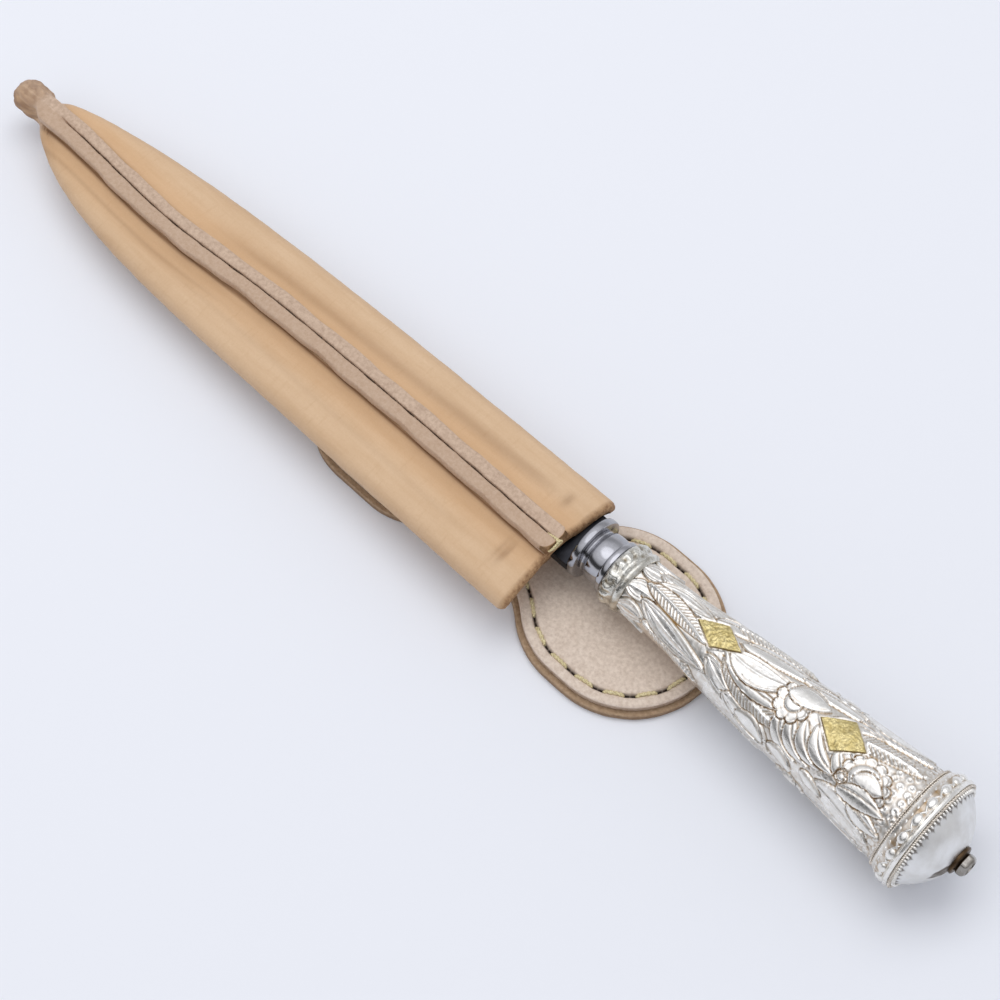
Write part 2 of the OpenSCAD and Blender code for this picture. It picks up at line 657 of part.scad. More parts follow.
// Hidden stitches that hold the inner leaf to the sheath's front wall, in two rows across.
// The belt passes between the rows, in the slit that the sheath's slope leaves over the tab.
module anchor_stitch(s, y0, y1) {
    low = leaf_t + thread_d / 2 + fit_gap;
    a = laid([-s, y0, front_z(s, y0) + wall - thread_d / 2 - fit_gap]);
    b = laid([-s, y1, front_z(s, y1) + wall - thread_d / 2 - fit_gap]);
    thread_run([a.x, y0, low], [b.x, y1, low]);
    thread_run(a, b);
    for (p = [a, b]) rod([p.x, p.y, low], p, thread_d * 0.4);
}
module anchor_stitches() {
    color("darkkhaki") lay_flat() for (s = [anchor_s, lower_x + lower_flat], side = [-1, 1])
        anchor_stitch(s, tab_y + side * anchor_inner, tab_y + side * anchor_outer);
}

blade();
bolster();
neck_ferrule();
handle_shell();
handle_core();
lozenge_neck_back();
lozenge_pommel_back();
lozenge_neck_front();
lozenge_pommel_front();
pommel_collar();
collar_wire_front();
collar_wire_rear();
pommel_dome();
dome_bezel();
finial_washer();
finial_nut();
sheath_body();
seam_thread();
seam_knot();
tab_inner_leaf();
tab_outer_leaf();
upper_lobe_stitches();
lower_lobe_stitches();
anchor_stitches();
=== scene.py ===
# %% [markdown]
# A belt knife in its leather sheath, dressed for a studio picture.
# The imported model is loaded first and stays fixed. It gives every piece its place and its body.
# Pieces that look right as they are keep their mesh and get a finish. The formed leather, the thread
# and the embossed silver are modelled here in more detail, in the same place.

# %% Open the frame
import json
import math

import bpy
import numpy as np
from mathutils import Matrix, Vector, noise


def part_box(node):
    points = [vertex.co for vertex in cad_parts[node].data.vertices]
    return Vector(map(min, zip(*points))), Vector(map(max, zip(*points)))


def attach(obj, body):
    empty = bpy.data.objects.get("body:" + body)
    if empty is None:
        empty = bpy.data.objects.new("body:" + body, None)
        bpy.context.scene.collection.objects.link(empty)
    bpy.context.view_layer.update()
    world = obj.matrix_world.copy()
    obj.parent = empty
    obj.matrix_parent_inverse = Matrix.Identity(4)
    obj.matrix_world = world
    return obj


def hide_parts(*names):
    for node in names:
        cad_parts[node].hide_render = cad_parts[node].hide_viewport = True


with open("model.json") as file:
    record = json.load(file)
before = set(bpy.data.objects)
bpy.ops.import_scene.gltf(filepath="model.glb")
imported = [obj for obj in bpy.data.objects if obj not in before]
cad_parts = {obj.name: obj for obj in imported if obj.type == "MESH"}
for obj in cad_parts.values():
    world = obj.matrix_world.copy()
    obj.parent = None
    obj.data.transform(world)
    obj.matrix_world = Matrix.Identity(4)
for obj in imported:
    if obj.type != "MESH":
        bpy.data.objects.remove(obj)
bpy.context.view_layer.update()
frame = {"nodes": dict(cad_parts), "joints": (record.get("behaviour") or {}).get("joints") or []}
print("pieces in the frame:", len(frame["nodes"]))

# %% [markdown]
# The knife's own frame is the easiest one to model in: X runs along the blade towards the pommel,
# with zero at the sheath's mouth, Y points to the blade's spine, and Z up. Sizes there are millimetres.
# A few of them drive the rest, so each is written once and the others are worked out from them.

# %% Sizes in millimetres
MM = 0.001
blade_len, guard_gap, guard_r = 205, 2.6, 9.3
mouth_up, mouth_low, wall, crown, belly = 22.1, 21.8, 2.6, 6.5, 7.2
mouth_cut, front_cut = 1.4, 3
flange_half, flange_t, joint_w, joint_depth = 4.7, 2.6, 0.7, 1.6
tip_room, knob_reach = 11.6, 11.5
sheath_len = blade_len - guard_gap + tip_room
cavity_end, joint_end = sheath_len - 8, sheath_len - 14
knob_start, knob_end = sheath_len - 6, sheath_len + knob_reach
knob_half, knob_thick, knob_y, knob_z = 5.3, 4.4, 1.5, 1.1
axis_y, bolster_len, ferrule_len, shell_len = 8.6, 10.6, 6.8, 101
shell_x = guard_gap + bolster_len + 0.2
neck_r, shell_end_r, sheet_t = 7.9, 14.6, 0.9
collar_x = shell_x + shell_len
collar_len, collar_r, dome_r, dome_rise, rim_len = 4.6, 17.0, 15.2, 8.9, 1.2
dome_x = collar_x + collar_len + 0.4
apex_x = dome_x + dome_rise
nut_x, nut_w, nut_len = apex_x + 0.8, 6, 2.6
stud_end = nut_x + nut_len - 1.2
dome_sphere_r = (dome_r ** 2 + dome_rise ** 2) / (2 * dome_rise)
leaf_t, tab_y = 2.4, 3.8
upper_x, upper_r, upper_flat = 19.6, 26.4, 3
lower_x, lower_r, lower_flat = 60.5, 23, 6.5
waist_r, stitch_inset, stitch_pitch, stitch_share = 32, 5, 8.6, 0.63
print("sheath", round(knob_end, 1), "mm, stud's end", round(stud_end, 1), "mm from the mouth")

# %% [markdown]
# On the table the knife is tilted a little, because the wide collar rests on the table while the neck
# rides over the belt tab. The joint's own axis gives that tilt, so it is read and not typed. Two
# helpers then turn millimetres of the knife's frame, or of the flat tab, into metres on the table.

# %% Where the knife frame lies on the table
axis = frame["joints"][0]["axis"]
tilt = math.atan2(axis[2], axis[0])
touch_x = collar_x + collar_len - rim_len
lift = collar_r * math.cos(tilt) - touch_x * math.sin(tilt)
middle_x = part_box("blade")[1].x * 1000 - stud_end * math.cos(tilt) - 2 * math.sin(tilt)


def lay(points):
    """Points of the knife frame, in millimetres, as places on the table in metres."""
    p = np.asarray(points, float).reshape(-1, 3)
    c, s = math.cos(tilt), math.sin(tilt)
    x = p[:, 0] * c - p[:, 2] * s + middle_x
    z = p[:, 0] * s + p[:, 2] * c + lift
    return np.stack([x, p[:, 1] - tab_y, z], 1) * MM


def lay_flat(points):
    """Points of the belt tab, which is drawn flat on the table, in metres."""
    p = np.asarray(points, float).reshape(-1, 3)
    return (p + [middle_x, -tab_y, 0]) * MM


print("tilt", round(math.degrees(tilt), 3), "lift", round(lift, 3), "middle", round(middle_x, 3))

# %% [markdown]
# The photograph was taken from above and to one side, with a lens of about 83 mm. The camera is set
# from three directions that were solved from the picture: right, up and backwards. A look-at
# helper would lose the slight roll, so the matrix is written directly.

# %% Camera
camera_data = bpy.data.cameras.new("camera")
camera_data.lens = 82.8
camera_data.sensor_width = 36
camera_data.clip_start = 0.05
camera = bpy.data.objects.new("camera", camera_data)
bpy.context.scene.collection.objects.link(camera)
origin, camera_place, right, back = (Vector(p) for p in lay([
    [0, 0, 0], [191.8, -216.6, 536], [710.8, 703.4, 0], [349.6, -353.3, 867.8]]).tolist())
right, back = (right - origin).normalized(), (back - origin).normalized()
up = back.cross(right)
camera.matrix_world = Matrix([[right[i], up[i], back[i], camera_place[i]] for i in range(3)] + [[0, 0, 0, 1]])
bpy.context.scene.camera = camera
print("camera", round(camera_place.length, 3), "m from the frame's origin")

# %% [markdown]
# A few helpers keep the rest short. These work on numbers alone: a soft step, a soft hill, a smooth
# line through a few chosen points, and random heights that are the same on each run.

# %% Curves and soft steps


def mix(a, b, t):
    return a + (b - a) * t


def ease(t):
    t = np.clip(t, 0, 1)
    return t * t * (3 - 2 * t)


def bump(x, centre, width):
    return np.exp(-((x - centre) / width) ** 2)


def smooth_line(points, count):
    """A round curve through the points, as count points at even distances."""
    p = np.asarray(points, float)
    ends = np.vstack([2 * p[0] - p[1], p, 2 * p[-1] - p[-2]])
    fine = []
    for a, b, c, d in zip(ends, ends[1:], ends[2:], ends[3:]):
        for t in np.linspace(0, 1, 12, endpoint=False):
            fine.append(0.5 * (2 * b + (c - a) * t + (2 * a - 5 * b + 4 * c - d) * t * t
                               + (3 * b - a - 3 * c + d) * t ** 3))
    fine = np.array(fine + [p[-1]])
    run = np.concatenate([[0], np.cumsum(np.linalg.norm(np.diff(fine, axis=0), axis=1))])
    where = np.linspace(0, run[-1], count)
    return np.stack([np.interp(where, run, fine[:, k]) for k in range(p.shape[1])], 1)


def rough(points, scale, octaves=3):
    """Soft random heights from -1 to 1 at places given in millimetres."""
    return np.array([noise.fractal(Vector(p) * scale, 1.0, 2.0, octaves) for p in points.tolist()])


# %% [markdown]
# Most forms here are skins: rings of points in order, joined by quads. Shading is smooth, with edges
# sharper than a chosen angle kept crisp. A mark is a number on each point, such as how much darker the
# leather is there, which the finish reads later.

# %% Mesh helpers


def skin_faces(rows, count, first=0):
    """Quads between closed rings of points, each ring having count points."""
    k = np.arange(rows - 1)[:, None] * count + first
    i = np.arange(count)[None, :]
    j = (i + 1) % count
    return np.stack([k + i, k + j, k + count + j, k + count + i], -1).reshape(-1, 4)


def close_faces(rows, count):
    """Quads from the last ring back to the first, which turn a skin into a closed ring."""
    i = np.arange(count)
    j = (i + 1) % count
    last = (rows - 1) * count
    return np.stack([last + i, last + j, j, i], 1)


def add_mesh(name, points, faces, sharp, marks=None):
    """A mesh piece at the origin. Marks are named numbers, one for each point."""
    mesh = bpy.data.meshes.new(name)
    mesh.from_pydata(np.asarray(points).tolist(), [], [list(map(int, f)) for f in faces])
    mesh.shade_smooth()
    mesh.set_sharp_from_angle(angle=math.radians(sharp))
    for mark, values in (marks or {}).items():
        layer = mesh.attributes.new(mark, "FLOAT", "POINT")
        layer.data.foreach_set("value", np.asarray(values, np.float32))
    piece = bpy.data.objects.new(name, mesh)
    bpy.context.scene.collection.objects.link(piece)
    return piece


def push_out(piece, heights):
    """Moves each point along its normal by a height in millimetres."""
    mesh = piece.data
    place = np.empty(len(mesh.vertices) * 3)
    mesh.vertices.foreach_get("co", place)
    normal = np.empty(len(mesh.vertices) * 3)
    mesh.vertex_normals.foreach_get("vector", normal)
    moved = place + normal * np.repeat(heights, 3) * MM
    mesh.vertices.foreach_set("co", moved)
    mesh.update()


def dress(piece, material, body, slot, *nodes):
    """Gives a piece its finish and its body, and hides the CAD nodes that it stands for."""
    piece.data.materials.clear()
    piece.data.materials.append(material)
    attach(piece, body)
    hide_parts(*nodes)
    print(piece.name, len(piece.data.polygons), "faces")


# %% [markdown]
# Finishes are node trees. Each one starts from the piece's own coordinates and adds noise at the
# scale of the real surface: pores in leather, hammer marks in silver, tool lines in steel.

# %% Finish helpers


def add_node(tree, kind, inputs=None, **settings):
    """A node with its settings. An input is either a value or the output of another node."""
    made = tree.nodes.new(kind)
    for key, value in settings.items():
        setattr(made, key, value)
    for key, value in (inputs or {}).items():
        if isinstance(value, bpy.types.NodeSocket):
            tree.links.new(value, made.inputs[key])
        else:
            made.inputs[key].default_value = value
    return made


def colour(red, green, blue):
    """A colour as the eye sees it, 0 to 255, for a shader."""
    def linear(c):
        c = c / 255
        return c / 12.92 if c <= 0.04045 else ((c + 0.055) / 1.055) ** 2.4
    return (linear(red), linear(green), linear(blue), 1)


# %% [markdown]
# The next helpers are the few steps that every finish is made of: where a pattern reads its place,
# the noise itself, a mark of the mesh, a change of range, sums, a mix of colours and fine relief.

# %% Steps of a finish


def new_finish(name, **constants):
    """A material with a Principled surface. Constants go straight onto its sockets."""
    material = bpy.data.materials.new(name)
    material.use_nodes = True
    tree = material.node_tree
    surface = tree.nodes["Principled BSDF"]
    for key, value in constants.items():
        surface.inputs[key.replace("_", " ")].default_value = value
    return material, tree, surface


def object_place(tree, stretch=(1, 1, 1)):
    place = add_node(tree, "ShaderNodeTexCoord").outputs["Object"]
    return add_node(tree, "ShaderNodeMapping", {"Vector": place, "Scale": stretch}).outputs["Vector"]


def surface_place(tree, stretch=(1, 1, 1)):
    place = add_node(tree, "ShaderNodeTexCoord").outputs["UV"]
    return add_node(tree, "ShaderNodeMapping", {"Vector": place, "Scale": stretch}).outputs["Vector"]


def grain(tree, place, scale, detail, roughness=0.6):
    inputs = {"Vector": place, "Scale": scale, "Detail": detail, "Roughness": roughness}
    return add_node(tree, "ShaderNodeTexNoise", inputs).outputs["Fac"]


def mark(tree, name):
    return add_node(tree, "ShaderNodeAttribute", attribute_name=name).outputs["Fac"]


def spread(tree, value, low, high, to_low=0.0, to_high=1.0):
    inputs = {"Value": value, "From Min": low, "From Max": high, "To Min": to_low, "To Max": to_high}
    return add_node(tree, "ShaderNodeMapRange", inputs, clamp=True).outputs["Result"]


def times(tree, a, b):
    return add_node(tree, "ShaderNodeMath", {0: a, 1: b}, operation="MULTIPLY").outputs[0]


def plus(tree, a, b):
    return add_node(tree, "ShaderNodeMath", {0: a, 1: b}, operation="ADD").outputs[0]


def blend_colour(tree, share, first, second):
    return add_node(tree, "ShaderNodeMix", {0: share, 6: first, 7: second}, data_type="RGBA").outputs[2]


def relief(tree, height, strength, distance, under=None):
    inputs = {"Height": height, "Strength": strength, "Distance": distance}
    if under is not None:
        inputs["Normal"] = under
    return add_node(tree, "ShaderNodeBump", inputs).outputs["Normal"]


# %% [markdown]
# Vegetable-tanned leather is a warm tan. Oil and handling leave darker streaks that run with
# the length, so the noise is stretched along it. The flesh side and the cut edges are greyer, and the marks
# that the sheath's mesh carries say where those lie. The inside of the cavity and the awl holes get
# painted shade, a colour close to black.

# %% Leather finishes
# The last two colours are painted shade, for the inside of the cavity and for the awl holes.
TAN_WARM, PAINTED_CAVITY_SHADE, PAINTED_HOLE_SHADE = colour(212, 166, 118), colour(70, 52, 38), colour(42, 31, 24)


def leather_finish(name, grain_colour, dark_colour, flesh_colour, flesh_dark, edge_colour, relief_size=1.0):
    """Leather with its grain side, flesh side and cut edges in one, as the marks of the mesh say."""
    material, tree, surface = new_finish(name, Roughness=0.6, Specular_IOR_Level=0.25)
    place = object_place(tree)
    along = surface_place(tree, (1, 9, 1))
    across = surface_place(tree, (6, 1, 1))
    streaks = spread(tree, grain(tree, along, 38, 5, 0.6), 0.42, 0.8)
    tan = blend_colour(tree, times(tree, streaks, 0.45), grain_colour, dark_colour)
    cloud = spread(tree, grain(tree, place, 42, 4, 0.55), 0.35, 0.7)
    tan = blend_colour(tree, times(tree, cloud, 0.25), tan, dark_colour)
    pores = spread(tree, grain(tree, place, 1700, 3, 0.7), 0.35, 0.7)
    tan = blend_colour(tree, times(tree, pores, 0.16), tan, dark_colour)
    wrinkles = spread(tree, grain(tree, across, 150, 4, 0.55), 0.56, 0.72)
    tan = blend_colour(tree, times(tree, wrinkles, 0.2), tan, dark_colour)
    tan = blend_colour(tree, mark(tree, "warm"), tan, TAN_WARM)
    # This mark holds real stains, and painted shade beside the turned edges.
    tan = blend_colour(tree, mark(tree, "stain_and_shade"), tan, edge_colour)
    mottle = spread(tree, grain(tree, place, 900, 5, 0.68), 0.36, 0.7)
    flesh = blend_colour(tree, times(tree, mottle, 0.8), flesh_colour, flesh_dark)
    shade = blend_colour(tree, mark(tree, "flesh"), tan, flesh)
    cut = blend_colour(tree, spread(tree, grain(tree, place, 900, 4), 0.3, 0.7), edge_colour, dark_colour)
    shade = blend_colour(tree, mark(tree, "cut"), shade, cut)
    # Painted shade: the inside of the cavity is coloured nearly black.
    shade = blend_colour(tree, mark(tree, "inside"), shade, PAINTED_CAVITY_SHADE)
    # Painted shade: the awl holes are coloured nearly black.
    shade = blend_colour(tree, mark(tree, "hole"), shade, PAINTED_HOLE_SHADE)
    tree.links.new(shade, surface.inputs["Base Color"])
    fine = relief(tree, grain(tree, place, 2600, 2), 0.3 * relief_size, 0.0002)
    wide = relief(tree, grain(tree, place, 520, 5), 0.25 * relief_size, 0.0004, fine)
    folds = relief(tree, wrinkles, 0.12, 0.0003, wide)
    tree.links.new(folds, surface.inputs["Normal"])
    tree.links.new(spread(tree, pores, 0, 1, 0.5, 0.72), surface.inputs["Roughness"])
    return material


sheath_leather = leather_finish("sheath_leather", colour(217, 187, 154), colour(190, 154, 116),
                                colour(205, 180, 158), colour(166, 140, 120), colour(124, 88, 58))
tab_flesh = leather_finish("tab_flesh", colour(226, 210, 195), colour(190, 170, 153),
                           colour(226, 210, 195), colour(190, 170, 153), colour(146, 119, 94), 1.3)
tab_edge = leather_finish("tab_edge", colour(178, 152, 124), colour(122, 97, 74),
                          colour(178, 152, 124), colour(134, 107, 82), colour(150, 123, 96))
print("leather finishes:", sheath_leather.name, tab_flesh.name, tab_edge.name)

# %% [markdown]
# Silver, gold and steel are one idea with different colours: a metal surface whose roughness and fine
# relief change from place to place, and whose hollows are darker than its worn ridges.

# %% Metal finishes


def metal_finish(name, bright, dull, roughness, fine_scale, fine_strength, hollow=None):
    """A worn metal. Where a colour for its hollows is given, its piece carries the mark hollow."""
    material, tree, surface = new_finish(name, Metallic=1.0)
    place = object_place(tree)
    patches = spread(tree, grain(tree, place, fine_scale * 0.25, 4), 0.35, 0.65)
    tint = blend_colour(tree, times(tree, patches, 0.6), bright, dull)
    wear = spread(tree, patches, 0, 1, roughness * 0.8, roughness * 1.3)
    if hollow:
        tint = blend_colour(tree, mark(tree, "hollow"), tint, hollow)
        wear = plus(tree, wear, times(tree, mark(tree, "hollow"), 0.2))
    tree.links.new(tint, surface.inputs["Base Color"])
    tree.links.new(wear, surface.inputs["Roughness"])
    fine = relief(tree, grain(tree, place, fine_scale, 3), fine_strength, 0.0002)
    tree.links.new(fine, surface.inputs["Normal"])
    return material


silver = metal_finish("silver", colour(249, 247, 242), colour(226, 223, 216), 0.27, 1300, 0.35,
                      colour(162, 130, 84))
ferrule_silver = metal_finish("ferrule_silver", colour(232, 230, 222), colour(176, 174, 164), 0.17, 1800, 0.4,
                              colour(120, 102, 68))
dome_silver = metal_finish("dome_silver", colour(236, 236, 235), colour(222, 220, 216), 0.4, 900, 0.1,
                           colour(86, 72, 56))
gold = metal_finish("gold", colour(228, 212, 156), colour(190, 170, 104), 0.3, 2200, 0.8,
                    colour(146, 122, 66))
gilt_wire = metal_finish("gilt_wire", colour(250, 242, 230), colour(228, 214, 196), 0.26, 1800, 0.3)
bolster_steel = metal_finish("bolster_steel", colour(182, 182, 186), colour(140, 140, 144), 0.12, 700, 0.05)
nut_steel = metal_finish("nut_steel", colour(170, 166, 160), colour(96, 88, 78), 0.2, 1200, 0.2)
finial_brass = metal_finish("finial_brass", colour(92, 74, 54), colour(58, 44, 32), 0.34, 1500, 0.3)
print("metal finishes:", silver.name, dome_silver.name, gold.name, bolster_steel.name)

# %% [markdown]
# The blade is hidden in the photograph, apart from its dark heel at the sheath's mouth, which lies in
# shade there and mirrors dark surroundings. That darkness is painted into the heel as a near-black colour,
# and one finish turns from it into a bright ground surface along the blade. The grinding lines run across it:
# the noise is stretched along Y and Z and left fine along X.

# %% Blade finish


def blade_finish():
    """A heel painted near black, as painted shade and reflection, that turns into a satin ground surface,
    with grinding lines across the blade.
    """
    material, tree, surface = new_finish("blade_steel", Metallic=1.0)
    place = object_place(tree)
    patches = spread(tree, grain(tree, place, 125, 4), 0.35, 0.65)
    lines = spread(tree, grain(tree, object_place(tree, (1, 0.05, 0.4)), 2600, 3), 0.35, 0.65)
    # Painted shade and reflection: the heel's near-black colour.
    painted_dark_heel = blend_colour(tree, patches, colour(66, 67, 72), colour(40, 41, 44))
    ground = blend_colour(tree, times(tree, lines, 0.8), colour(200, 201, 204), colour(160, 161, 165))
    ground = blend_colour(tree, times(tree, patches, 0.3), ground, colour(150, 150, 152))
    run = add_node(tree, "ShaderNodeSeparateXYZ", {0: place}).outputs[0]
    run = plus(tree, run, times(tree, grain(tree, place, 260, 3), 0.005))
    share = spread(tree, run, (middle_x - 18) * MM, (middle_x - 9) * MM, 1.0, 0.0)
    tree.links.new(blend_colour(tree, share, painted_dark_heel, ground), surface.inputs["Base Color"])
    tree.links.new(spread(tree, lines, 0, 1, 0.34, 0.46), surface.inputs["Roughness"])
    tree.links.new(relief(tree, lines, 0.1, 0.0001), surface.inputs["Normal"])
    return material


blade_steel = blade_finish()
print("blade finish:", blade_steel.name)

# %% [markdown]
# Thread is a light and a dark colour mixed by very fine noise, which reads as fibres. The twist
# itself is geometry. The handle's filler is hidden, and takes the same kind of finish in brown.

# %% Thread and filler finishes


def thread_finish(name, light, dark):
    material, tree, surface = new_finish(name, Roughness=0.6, Specular_IOR_Level=0.35)
    place = object_place(tree)
    fibres = spread(tree, grain(tree, place, 3000, 3), 0.35, 0.65)
    tree.links.new(blend_colour(tree, fibres, light, dark), surface.inputs["Base Color"])
    tree.links.new(relief(tree, fibres, 0.4, 0.0002), surface.inputs["Normal"])
    return material


waxed_thread = thread_finish("waxed_thread", colour(238, 226, 184), colour(202, 184, 136))
seam_thread = thread_finish("seam_thread", colour(86, 66, 50), colour(44, 32, 24))
filler = thread_finish("filler", colour(90, 62, 40), colour(60, 40, 26))
print("thread finishes:", waxed_thread.name, seam_thread.name, filler.name)

# %% [markdown]
# The sheath is one piece of wet-formed leather. Its two edges are turned out along the middle and
# pressed flat, and past the blade's tip everything ends in a solid knob. It is a loft: one section
# with the same number of points at every place along the length, from the mouth to the knob.
# Its rules are those of the CAD body, with three times the points and the leather's small unevenness.

# %% Sheath sections


def along(s):
    return np.clip(s / sheath_len, 0, 1)


def side_up(s):
    return 5 + (mouth_up - 5 - 0.012 * s) * (1 - along(s) ** 4) ** 0.64


def side_low(s):
    return 1 + (mouth_low - 1 - 0.012 * s) * (1 - along(s) ** 8) ** 0.85


def seam_y(s):
    return 0.5 * ease(s / 60) - 2.6 * np.exp(-((s - 0.72 * sheath_len) / 32) ** 2)


def crown_z(s):
    return mix(crown, 4.4, along(s) ** 1.5)


def belly_z(s):
    return mix(belly, 3.7, along(s) ** 1.5)


def arc(centre, radius, first, last, count):
    a = np.radians(np.linspace(first, last, count))
    return np.stack([centre[0] + radius * np.cos(a), centre[1] + radius * np.sin(a)], 1)


# %% [markdown]
# One section is the leather's outline in a plane across the blade. The body's part goes from the seam
# round the front wall and back to the seam. It always has the same number of points, so that one
# section can be joined to the next point by point.

# %% Section of the body
FINE = 3
PANEL, FOLD = 8 * FINE, 7 * FINE


def body_section(s, inset):
    """The leather's outline from the seam's spine side round the front to its edge side."""
    fold_up = mix(4.6, 3.4, along(s) ** 2)
    fold_low = mix(3.4, 2.9, along(s) ** 2)
    ru, rl = fold_up - inset, fold_low - inset
    yu, yl = side_up(s) - fold_up, -side_low(s) + fold_low
    low_z = -0.4
    top = crown_z(s) - inset
    root_up, root_low = seam_y(s) + min(1.5, yu / 2), seam_y(s) - min(1.5, -yl / 2)
    t = np.linspace(0, 1, PANEL)

    def panel(y, z):
        hollow = 0.9 * (1 - ease((s - 130) / 60)) * bump(np.abs(y - seam_y(s)), 8.2, 3.2)
        return np.stack([y, z - hollow], 1)

    y = mix(yu, yl, t)
    across = np.clip((side_up(s) - fold_up - y) / (side_up(s) - fold_up + side_low(s) - fold_low), 0, 1)
    front = mix(-fold_up, low_z - fold_low, across)
    front = front - (belly_z(s) - (fold_up + fold_low - low_z) / 2) * np.sin(np.pi * across) + inset
    return np.vstack([
        panel(mix(root_up, yu, t), mix(top, ru, t)),
        arc((yu, 0), ru, 72, -78, FOLD),
        np.stack([y, front], 1),
        arc((yl, low_z), rl, 258, 108, FOLD),
        panel(mix(yl, root_low, t), mix(low_z + rl, top, t)),
    ])


# %% [markdown]
# The rest of the section is the two turned edges and the open joint between them. Their width
# wavers with two slow waves and a little noise, because such edges are trimmed by hand.

# %% Section of the turned edges


def wave(s, degrees_per_mm, start=0):
    return math.sin(math.radians(degrees_per_mm * s + start))


def flange_section(s, before, after):
    """The turned edges, from the edge side over the top to the spine side."""
    y0, z0 = seam_y(s), crown_z(s)
    low = flange_half - 0.3 + 0.2 * wave(s, 11) + 0.15 * wave(s, 23, 40)
    high = flange_half - 0.6 - 0.5 * along(s) + 0.2 * wave(s, 13, 90)
    low += 0.2 * noise.noise(Vector((s * 0.16, 3, 0)))
    high += 0.2 * noise.noise(Vector((s * 0.16, 9, 0)))
    open_joint = 1 - ease((s - joint_end) / 5)
    under = 0.1 - 0.5 * (1 - along(s))
    side = [(0.8, under), (0.95, under + 0.1), (1, under + 0.5), (1.01, under + 1.2),
            (1.0, flange_t - 0.65), (0.965, flange_t - 0.22), (0.88, flange_t - 0.02),
            (0.6, flange_t + 0.02), (0.35, flange_t - 0.02)]
    wander = 0.12 * noise.noise(Vector((s * 0.2, 5, 1)))
    gap = joint_w / 2 * (0.7 + 0.3 * noise.noise(Vector((s * 0.17, 1, 7))))
    joint = [(-gap - 0.5, 0.05), (-gap, 0.45), (-gap + 0.05, joint_depth),
             (gap - 0.05, joint_depth), (gap, 0.45), (gap + 0.5, 0.05)]
    joint = [(a, flange_t - b * open_joint) for a, b in joint]
    points = [tuple(before)] + [(y0 - low * a, z0 + b) for a, b in side]
    points += [(y0 + wander + a, z0 + b) for a, b in joint]
    points += [(y0 + high * a, z0 + b) for a, b in reversed(side)] + [tuple(after)]
    return smooth_line(points, 16 * FINE + 2)[1:-1]


# %% [markdown]
# Past the blade's tip the section turns into a plain oval, point by point, and that oval closes to the
# knob's end. So the knob needs no piece of its own, as on the real sheath.

# %% Whole section


def outer_section(s, inset=0.0):
    """The leather's whole outline, which turns into the knob past the blade's tip."""
    body = body_section(min(s, sheath_len - 2), inset)
    flange = flange_section(s, body[-1], body[0])
    leather = np.vstack([body, flange])
    count = len(leather)
    narrow = math.sqrt(max(0, 1 - (max(0, s - knob_end + knob_half) / knob_half) ** 2))
    a = np.radians(90 - 360 * (np.arange(count) + 8 * FINE) / count)
    knob = np.stack([knob_y + knob_half * narrow * np.cos(a), knob_z + knob_thick * narrow * np.sin(a)], 1)
    return mix(leather, knob, ease((s - knob_start) / 9))


# %% [markdown]
# The sections are stacked along the blade. At the mouth they are shifted, because the leather is cut
# back a little there, and the turned edges have rounded corners.

# %% Mouth of the sheath


def mouth_shift(s, section):
    """The mouth is cut back a little in the middle, and more on the front wall."""
    side = np.clip((np.abs(section[:, 0]) - flange_half - 1) / (mouth_low - flange_half - 1), 0, 1)
    front = np.clip(-section[:, 1] / 4, 0, 1)
    corner = np.clip((np.abs(section[:, 0] - seam_y(s)) - flange_half + 3.2) / 2.9, 0, 1)
    turned_back = 2.1 * (1 - np.sqrt(1 - corner ** 2)) * (section[:, 1] > crown + 0.4) * (1 - ease(s / 6))
    return (mouth_cut * (1 - side) + front_cut * front) * (1 - np.clip(s / 20, 0, 1)) + turned_back


def place_ring(s, section):
    return np.stack([-s - mouth_shift(s, section), section[:, 0], section[:, 1]], 1)


# %% [markdown]
# Handling and damp have left darker streaks: a long one on the upper panel and fainter ones on the lower.
# The leather is also darker at two short creases where the anchor stitches pull, at the mouth's rim and
# along the outer folds. Right beside the turned edges it is darkened as painted shade under their overhang.
# Each is a soft hill in length and width.

# %% Stains and painted shade of the sheath


def stain_and_shade_at(s, y):
    """How much darker the leather is, from 0 to 1, at places along it and across it: stains, and painted
    shade beside the turned edges.
    """
    streak_y = np.interp(s, [0, 47, 94, 118, 135, 150], [12.3, 11.1, 9.5, 8.6, 7.2, 6.4])
    streak = 0.3 * bump(y, streak_y, 1.9) * ease((s - 8) / 14) * (1 - ease((s - 120) / 30))
    # Painted shade: a dark line under the overhang of each turned edge, and a soft darkening beside the lower
    # one. The last term is a streak in the leather.
    flange_shade_and_streak = 0.95 * bump(y, seam_y(s) - flange_half + 0.35, 0.6)
    flange_shade_and_streak = flange_shade_and_streak + 0.14 * bump(y, seam_y(s) - flange_half - 1.8, 2.0)
    flange_shade_and_streak = flange_shade_and_streak + 0.4 * bump(y, seam_y(s) + flange_half - 0.5, 0.6)
    flange_shade_and_streak = flange_shade_and_streak + 0.22 * bump(y, seam_y(s) - flange_half - 4.2, 0.7) * ease((s - 110) / 30)
    crease = 0.42 * bump(s, 9.2, 1.3) * bump(y, 12.4, 2.4)
    crease = crease + (0.5 * bump(s, 10.2, 0.9) + 0.3 * bump(s, 12.2, 0.8)) * bump(y, -10.5, 3.4)
    rim = 0.3 * bump(s, 0, 1.4)
    lower = 0.10 * bump(y, -13.6 + 0.012 * s, 1.0) * ease((s - 16) / 20) * (1 - ease((s - 150) / 30))
    folds = 0.16 * bump(y, side_up(s), 2.4) + 0.14 * bump(y, -side_low(s), 3.0)
    return np.clip(streak + flange_shade_and_streak + crease + rim + lower + folds, 0, 1)


# %% [markdown]
# Now the skin: an outer stack of rings, an inner stack for the cavity, the cut edge of the
# mouth between them, and a point at each far end. The rings lie closer where the form turns quickly.
# The first four are drawn in a little, which rounds the mouth's cut edge. A skin's faces look outwards
# here, so those of the cavity are turned round.

